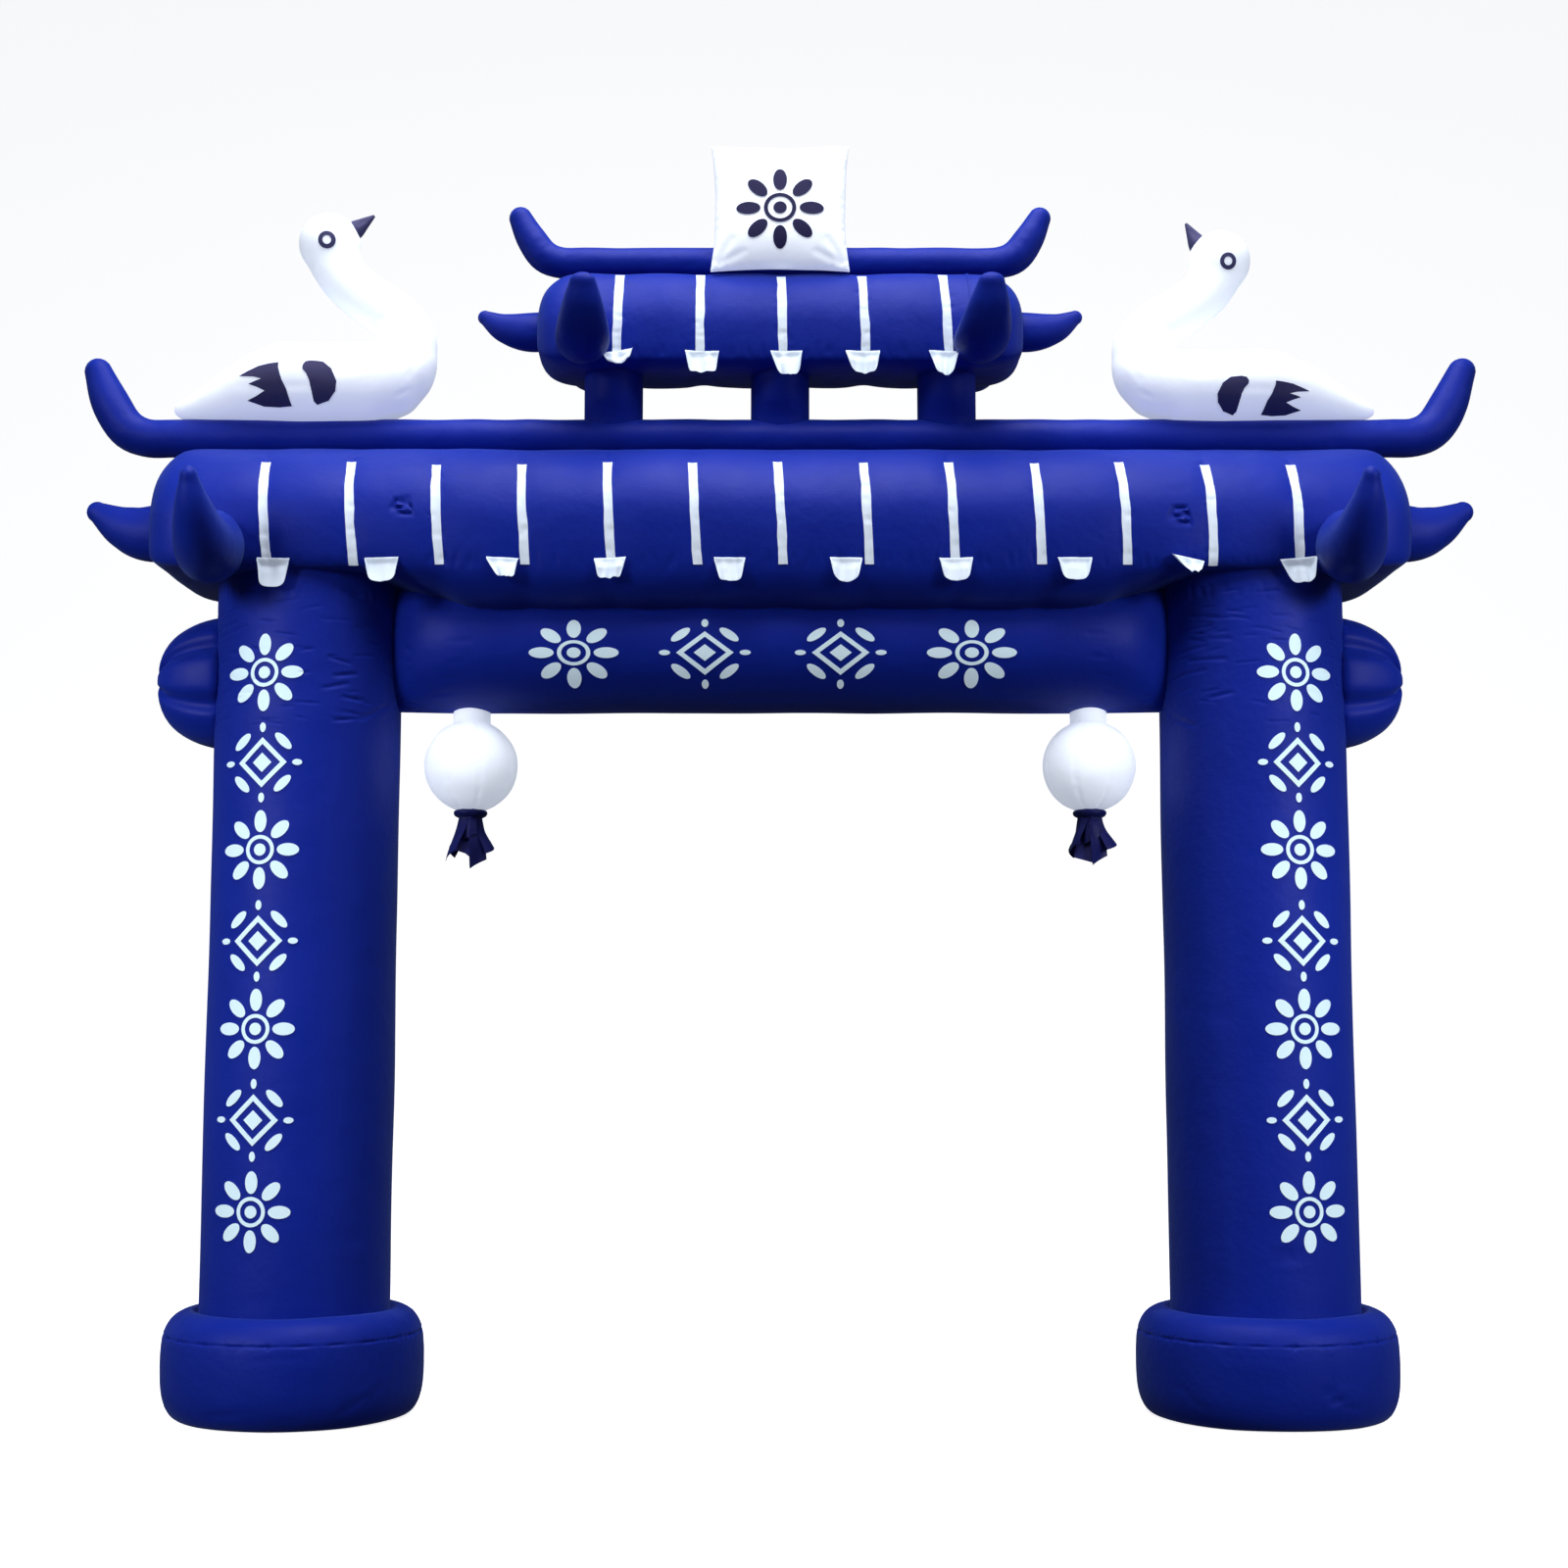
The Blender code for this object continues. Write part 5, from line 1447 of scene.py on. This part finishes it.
# %% Lanterns
LANTERN_X = 1.362
LANTERN_Z = 2.785
LANTERN_RADIUS = 0.204
NECK_RADIUS = 0.081
NECK_TOP = 3.04
GORES = 8
neck_angle = np.degrees(np.arccos(NECK_RADIUS / LANTERN_RADIUS))
outline = [(0.0, NECK_TOP), (NECK_RADIUS * 0.6, NECK_TOP)]
outline += [(NECK_RADIUS, z) for z in np.linspace(NECK_TOP, LANTERN_Z + 0.192, 8)]
outline += [(LANTERN_RADIUS * cos(radians(a)), LANTERN_Z + LANTERN_RADIUS * sin(radians(a)))
            for a in np.linspace(neck_angle - 2, -89, 58)]
outline += [(0.0, LANTERN_Z - LANTERN_RADIUS)]
for side, x in (("left", -LANTERN_X), ("right", LANTERN_X)):
    lantern = turned(side + "_ball_lantern", outline, 96, x)
    creases = []
    for gore in range(GORES):
        turn = 2 * pi * gore / GORES + 0.35
        line = [np.array((x + LANTERN_RADIUS * cos(a) * sin(turn),
                          -LANTERN_RADIUS * cos(a) * cos(turn),
                          LANTERN_Z + LANTERN_RADIUS * sin(a)))
                for a in np.radians(np.arange(60, -81, -20))]
        creases += seam(line, 0.010, 0.004)
        sideways = (cos(turn), sin(turn), 0)
        creases += puckers(line, sideways, 0.030, 0.020, 0.008, 0.0025, seed=300 + gore)
    collar = hoop(x, 0.088, LANTERN_Z + 0.188, 17)
    creases += puckers(collar, (0, 0, 1), 0.020, 0.030, 0.008, 0.004, seed=320)
    under = hoop(x, 0.070, LANTERN_Z - 0.190, 17)
    creases += puckers(under, hoop(0, 1, 0.35, 17)[:16], 0.020, 0.035, 0.008, 0.003, seed=330)
    swell(lantern, 0.003, 0.12)
    press_creases(lantern, creases)
    hand_over(lantern, WHITE, ["lantern_" + side])
print("Creases on a lantern:", len(creases))

# %% [markdown]
# ## Tassels
#
# Below each lantern hangs a tassel: wide ribbons of blue cloth gathered in a knot and left
# loose. A ribbon is a narrow grid that starts inside the knot, turns outwards and then
# falls, with a fold down its middle and a slanted end. All of one tassel's ribbons are
# joined, because they are sewn together. The knot round their tops is a piece of its own.

# %% Tassels
KNOT_Z = 2.593
KNOT_OUTLINE = ((0.0, 0.004), (0.045, 0.002), (0.070, -0.006), (0.074, -0.018),
                (0.066, -0.030), (0.040, -0.040), (0.0, -0.044))
Ribbon = namedtuple("Ribbon", "bearing width length flare curl twist")
RIBBONS = {
    "left": (Ribbon(228, 0.100, 0.205, 0.052, 0.014, 14),
             Ribbon(252, 0.080, 0.190, 0.030, -0.012, -10),
             Ribbon(276, 0.060, 0.120, 0.018, 0.012, 8),
             Ribbon(306, 0.095, 0.240, 0.038, -0.014, -12),
             Ribbon(345, 0.070, 0.180, 0.034, 0.012, 10),
             Ribbon(60, 0.080, 0.175, 0.030, 0.014, -10),
             Ribbon(110, 0.075, 0.190, 0.030, -0.012, 12),
             Ribbon(160, 0.080, 0.180, 0.034, 0.014, -12)),
    "right": (Ribbon(216, 0.080, 0.170, 0.040, 0.012, 12),
              Ribbon(244, 0.090, 0.225, 0.024, -0.014, -12),
              Ribbon(270, 0.065, 0.135, 0.018, 0.010, 10),
              Ribbon(296, 0.095, 0.225, 0.036, -0.012, -14),
              Ribbon(330, 0.075, 0.165, 0.042, 0.014, 12),
              Ribbon(40, 0.080, 0.180, 0.030, 0.012, -12),
              Ribbon(95, 0.075, 0.175, 0.030, -0.014, 10),
              Ribbon(150, 0.080, 0.180, 0.034, 0.014, -12)),
}


def make_ribbon(name, x, ribbon, seed):
    """Bend a grid into one hanging ribbon."""
    rng = np.random.default_rng(seed)
    slant = rng.uniform(-0.035, 0.035)
    wave = rng.uniform(0, 2 * pi)

    def ribbon_place(u, v):
        t = 1 - v
        across = (u - 0.5) * ribbon.width * (0.60 + 0.40 * t ** 0.6)
        out = 0.050 + ribbon.flare * t ** 1.3 + 0.010 * sin(wave + 5 * t) * t
        out += ribbon.curl * sin(pi * u) * t - 0.020 * abs(u - 0.5) * 2 * (1 - t)
        drop = -0.004 - ribbon.length * t - slant * (u - 0.5) * 2 * t
        turn = radians(ribbon.twist) * t
        side = across * cos(turn)
        out += across * sin(turn)
        return side, -out, drop

    piece = bent_grid(name, 12, 28, ribbon_place)
    turn = Matrix.Rotation(radians(ribbon.bearing - 270), 4, "Z")
    piece.data.transform(Matrix.Translation((x, 0, KNOT_Z)) @ turn)
    return piece


for side, x in (("left", -LANTERN_X), ("right", LANTERN_X)):
    ribbons = [make_ribbon("ribbon", x, ribbon, 400 + number)
               for number, ribbon in enumerate(RIBBONS[side])]
    tassel = joined(ribbons, side + "_tassel_ribbons")
    area = cloth_area(tassel)
    apply_modifier(tassel, "SOLIDIFY", thickness=0.0022, offset=0.0)
    hand_over(tassel, NAVY, ["tassel_" + side])
    wide = sum(ribbon.width for ribbon in RIBBONS[side])
    outline = smooth_line([(radius, KNOT_Z + up) for radius, up in KNOT_OUTLINE], 22)
    knot = turned(side + "_tassel_knot", outline, 48, x)
    ring = hoop(x, 0.073, KNOT_Z - 0.018, 25)
    press_creases(knot, puckers(ring, (0, 0, 1), 0.014, 0.020, 0.006, 0.004, seed=430))
    hand_over(knot, NAVY)
print("Ribbons in a tassel:", len(RIBBONS["left"]))

# %% [markdown]
# ## Sewn medallions
#
# The columns, the lintel and the pillow carry pale cut-out medallions. They are plain
# ornament: a rosette of petals, and a lozenge inside four leaves. Each is a set of flat
# outlines, laid on the cloth and thickened, so that it follows every swell below it.

# %% Medallion outlines
def rosette(x, z, wide, high, petals=8):
    """Petals round a ring with a round middle."""
    outlines = ring_outlines(0, 0, 0.36, 0.27, 32)
    outlines.append(ellipse(0, 0, 0.15, 0.15, 0, 20))
    for k in range(petals):
        turn = 360 * k / petals
        out = 0.70
        outlines.append(ellipse(out * cos(radians(turn)), out * sin(radians(turn)), 0.27, 0.155,
                                turn, 22))
    return [[(x + a * wide / 2, z + b * high / 2) for a, b in outline] for outline in outlines]


def leafed_lozenge(x, z, wide, high):
    """A lozenge frame with a small lozenge inside and a pair of leaves at each side."""
    outlines = []
    for outer, inner in ((0.62, 0.46), (0.24, 0.001)):
        for k in range(4):
            a, b = pi / 2 * k, pi / 2 * (k + 1)
            outlines.append([(r * cos(t), r * sin(t))
                             for r, t in ((outer, a), (outer, b), (inner, b), (inner, a))])
    for k in range(4):
        turn = 45 + 90 * k
        outlines.append(ellipse(0.74 * cos(radians(turn)), 0.74 * sin(radians(turn)), 0.11, 0.27,
                                turn, 22))
        outlines.append(ellipse(0.87 * cos(radians(turn + 45)), 0.87 * sin(radians(turn + 45)),
                                0.12, 0.075, turn + 45, 18))
    return [[(x + a * wide / 2, z + b * high / 2) for a, b in outline] for outline in outlines]


def sew_on(name, outlines, target, slot, y=-1.2):
    """Lay a set of outlines on a piece as one cut-out."""
    patch = flat_patch(name, outlines, y)
    area = lay_patch(patch, target, -1, gap=0.0028, thickness=0.0014)
    hand_over(patch, slot)


print("Outlines in a rosette:", len(rosette(0, 0, 1, 1)))

# %% [markdown]
# Seven medallions climb each column, a little outside its middle, four lie along the
# lintel and one is on the pillow. Rosettes and leafed lozenges take turns.

# %% Medallions on the columns, the lintel and the pillow
MEDALLION_HEIGHTS = (3.142, 2.756, 2.385, 2.001, 1.633, 1.255, 0.878)
MEDALLION_SIZE = 0.345
MEDALLION_ANGLE = 16
for side, sign, column in (("left", -1, left_column), ("right", 1, right_column)):
    x = sign * (COLUMN_X + COLUMN_RADIUS * sin(radians(MEDALLION_ANGLE)))
    for number, z in enumerate(MEDALLION_HEIGHTS):
        draw = rosette if number % 2 == 0 else leafed_lozenge
        outlines = draw(x, z, MEDALLION_SIZE, MEDALLION_SIZE)
        sew_on("%s_column_medallion_%d" % (side, number + 1), outlines, column, ICE)

LINTEL_MEDALLIONS = (-0.889, -0.324, 0.261, 0.826)
for number, x in enumerate(LINTEL_MEDALLIONS):
    draw = leafed_lozenge if number in (1, 2) else rosette
    sew_on("lintel_medallion_%d" % (number + 1), draw(x, 3.245, 0.40, 0.290), lintel, ICE)
sew_on("pillow_medallion", rosette(0.0, 5.253, 0.40, 0.37), pillow, INK)
print("Medallions:", 2 * len(MEDALLION_HEIGHTS) + len(LINTEL_MEDALLIONS) + 1)

# %% [markdown]
# ## Floor, light and camera
#
# The gate stands on a plain pale floor that curves up into a backdrop, made from a plane
# with one edge extruded up and the fold bevelled round. The paper glows a little, as a
# bright sky would, but it is hidden from diffuse and glossy rays, so that it does not
# light the cloth. One wide lamp overhead gives most of the light. Two weak narrow lamps
# at the front left and front right light the outsides of the columns.

# %% Floor and backdrop
clear_selection()
bpy.ops.mesh.primitive_plane_add(size=1.0)
studio = bpy.context.object
studio.name = "studio_floor"
studio.data.transform(Matrix.Translation((0, -8, 0)) @ Matrix.Diagonal((90, 50, 1, 1)))
bpy.ops.object.mode_set(mode="EDIT")
bpy.ops.mesh.select_mode(type="EDGE")
bpy.ops.mesh.select_all(action="DESELECT")
shell = bmesh.from_edit_mesh(studio.data)
for edge in shell.edges:
    edge.select = all(vert.co.y > 0 for vert in edge.verts)
bpy.ops.mesh.extrude_region_move(TRANSFORM_OT_translate={"value": (0, 0, 40)})
bpy.ops.mesh.select_all(action="DESELECT")
shell = bmesh.from_edit_mesh(studio.data)
for edge in shell.edges:
    edge.select = all(vert.co.y > 0 and abs(vert.co.z) < 0.01 for vert in edge.verts)
bpy.ops.mesh.bevel(offset=6.0, segments=24, affect="EDGES")
bpy.ops.object.mode_set(mode="OBJECT")
bpy.ops.object.shade_smooth()
# matt white paper, bright enough to read as an open sky
paper = bpy.data.materials.new("white_studio_paper")
paper.use_nodes = True
set_inputs(paper.node_tree.nodes["Principled BSDF"],
           {"Base Color": linear("F6F7F9"), "Roughness": 0.95, "Specular IOR Level": 0.1,
            "Emission Color": linear("FFFFFF"), "Emission Strength": 0.86})
studio.data.materials.append(paper)
studio.visible_diffuse = False
studio.visible_glossy = False
print("Floor size:", [round(v, 1) for v in studio.dimensions])

# %% Lights
world = bpy.context.scene.world or bpy.data.worlds.new("studio")
bpy.context.scene.world = world
world.use_nodes = True
set_inputs(world.node_tree.nodes["Background"], {"Color": linear("E6EEFF"), "Strength": 0.08})
Lamp = namedtuple("Lamp", "name place aim size power spread")
for lamp in (Lamp("front_left_softbox", (-7.5, -7.0, 5.0), (-2.9, 0, 1.9), 3.0, 50, 44),
             Lamp("front_right_softbox", (7.5, -7.0, 5.0), (2.9, 0, 1.9), 3.0, 50, 44),
             Lamp("overhead_softbox", (0.0, -2.5, 9.8), (0, 0, 2.6), 6.5, 900, 180)):
    bpy.ops.object.light_add(type="AREA", location=lamp.place)
    light = bpy.context.object
    light.name = lamp.name
    light.data.size = lamp.size
    light.data.energy = lamp.power
    light.data.spread = radians(lamp.spread)
    aim = Vector(lamp.aim) - Vector(lamp.place)
    light.rotation_euler = aim.to_track_quat("-Z", "Y").to_euler()
print("Lights:", sum(1 for o in bpy.data.objects if o.type == "LIGHT"))

# %% [markdown]
# The camera stands at a person's eye height, ten metres in front of the gate, and tilts up
# a little. That is the viewpoint at which every measured edge fell into place.

# %% Camera
bpy.ops.object.camera_add(location=(0, -9.87, 1.6), rotation=(radians(96.4), 0, 0))
camera = bpy.context.object
camera.data.lens = 51.75
camera.data.sensor_width = 36
camera.data.shift_x = 0.0025
camera.data.clip_end = 200
bpy.context.scene.camera = camera
bpy.context.scene.view_settings.view_transform = "Standard"
print("Camera height:", camera.location.z)
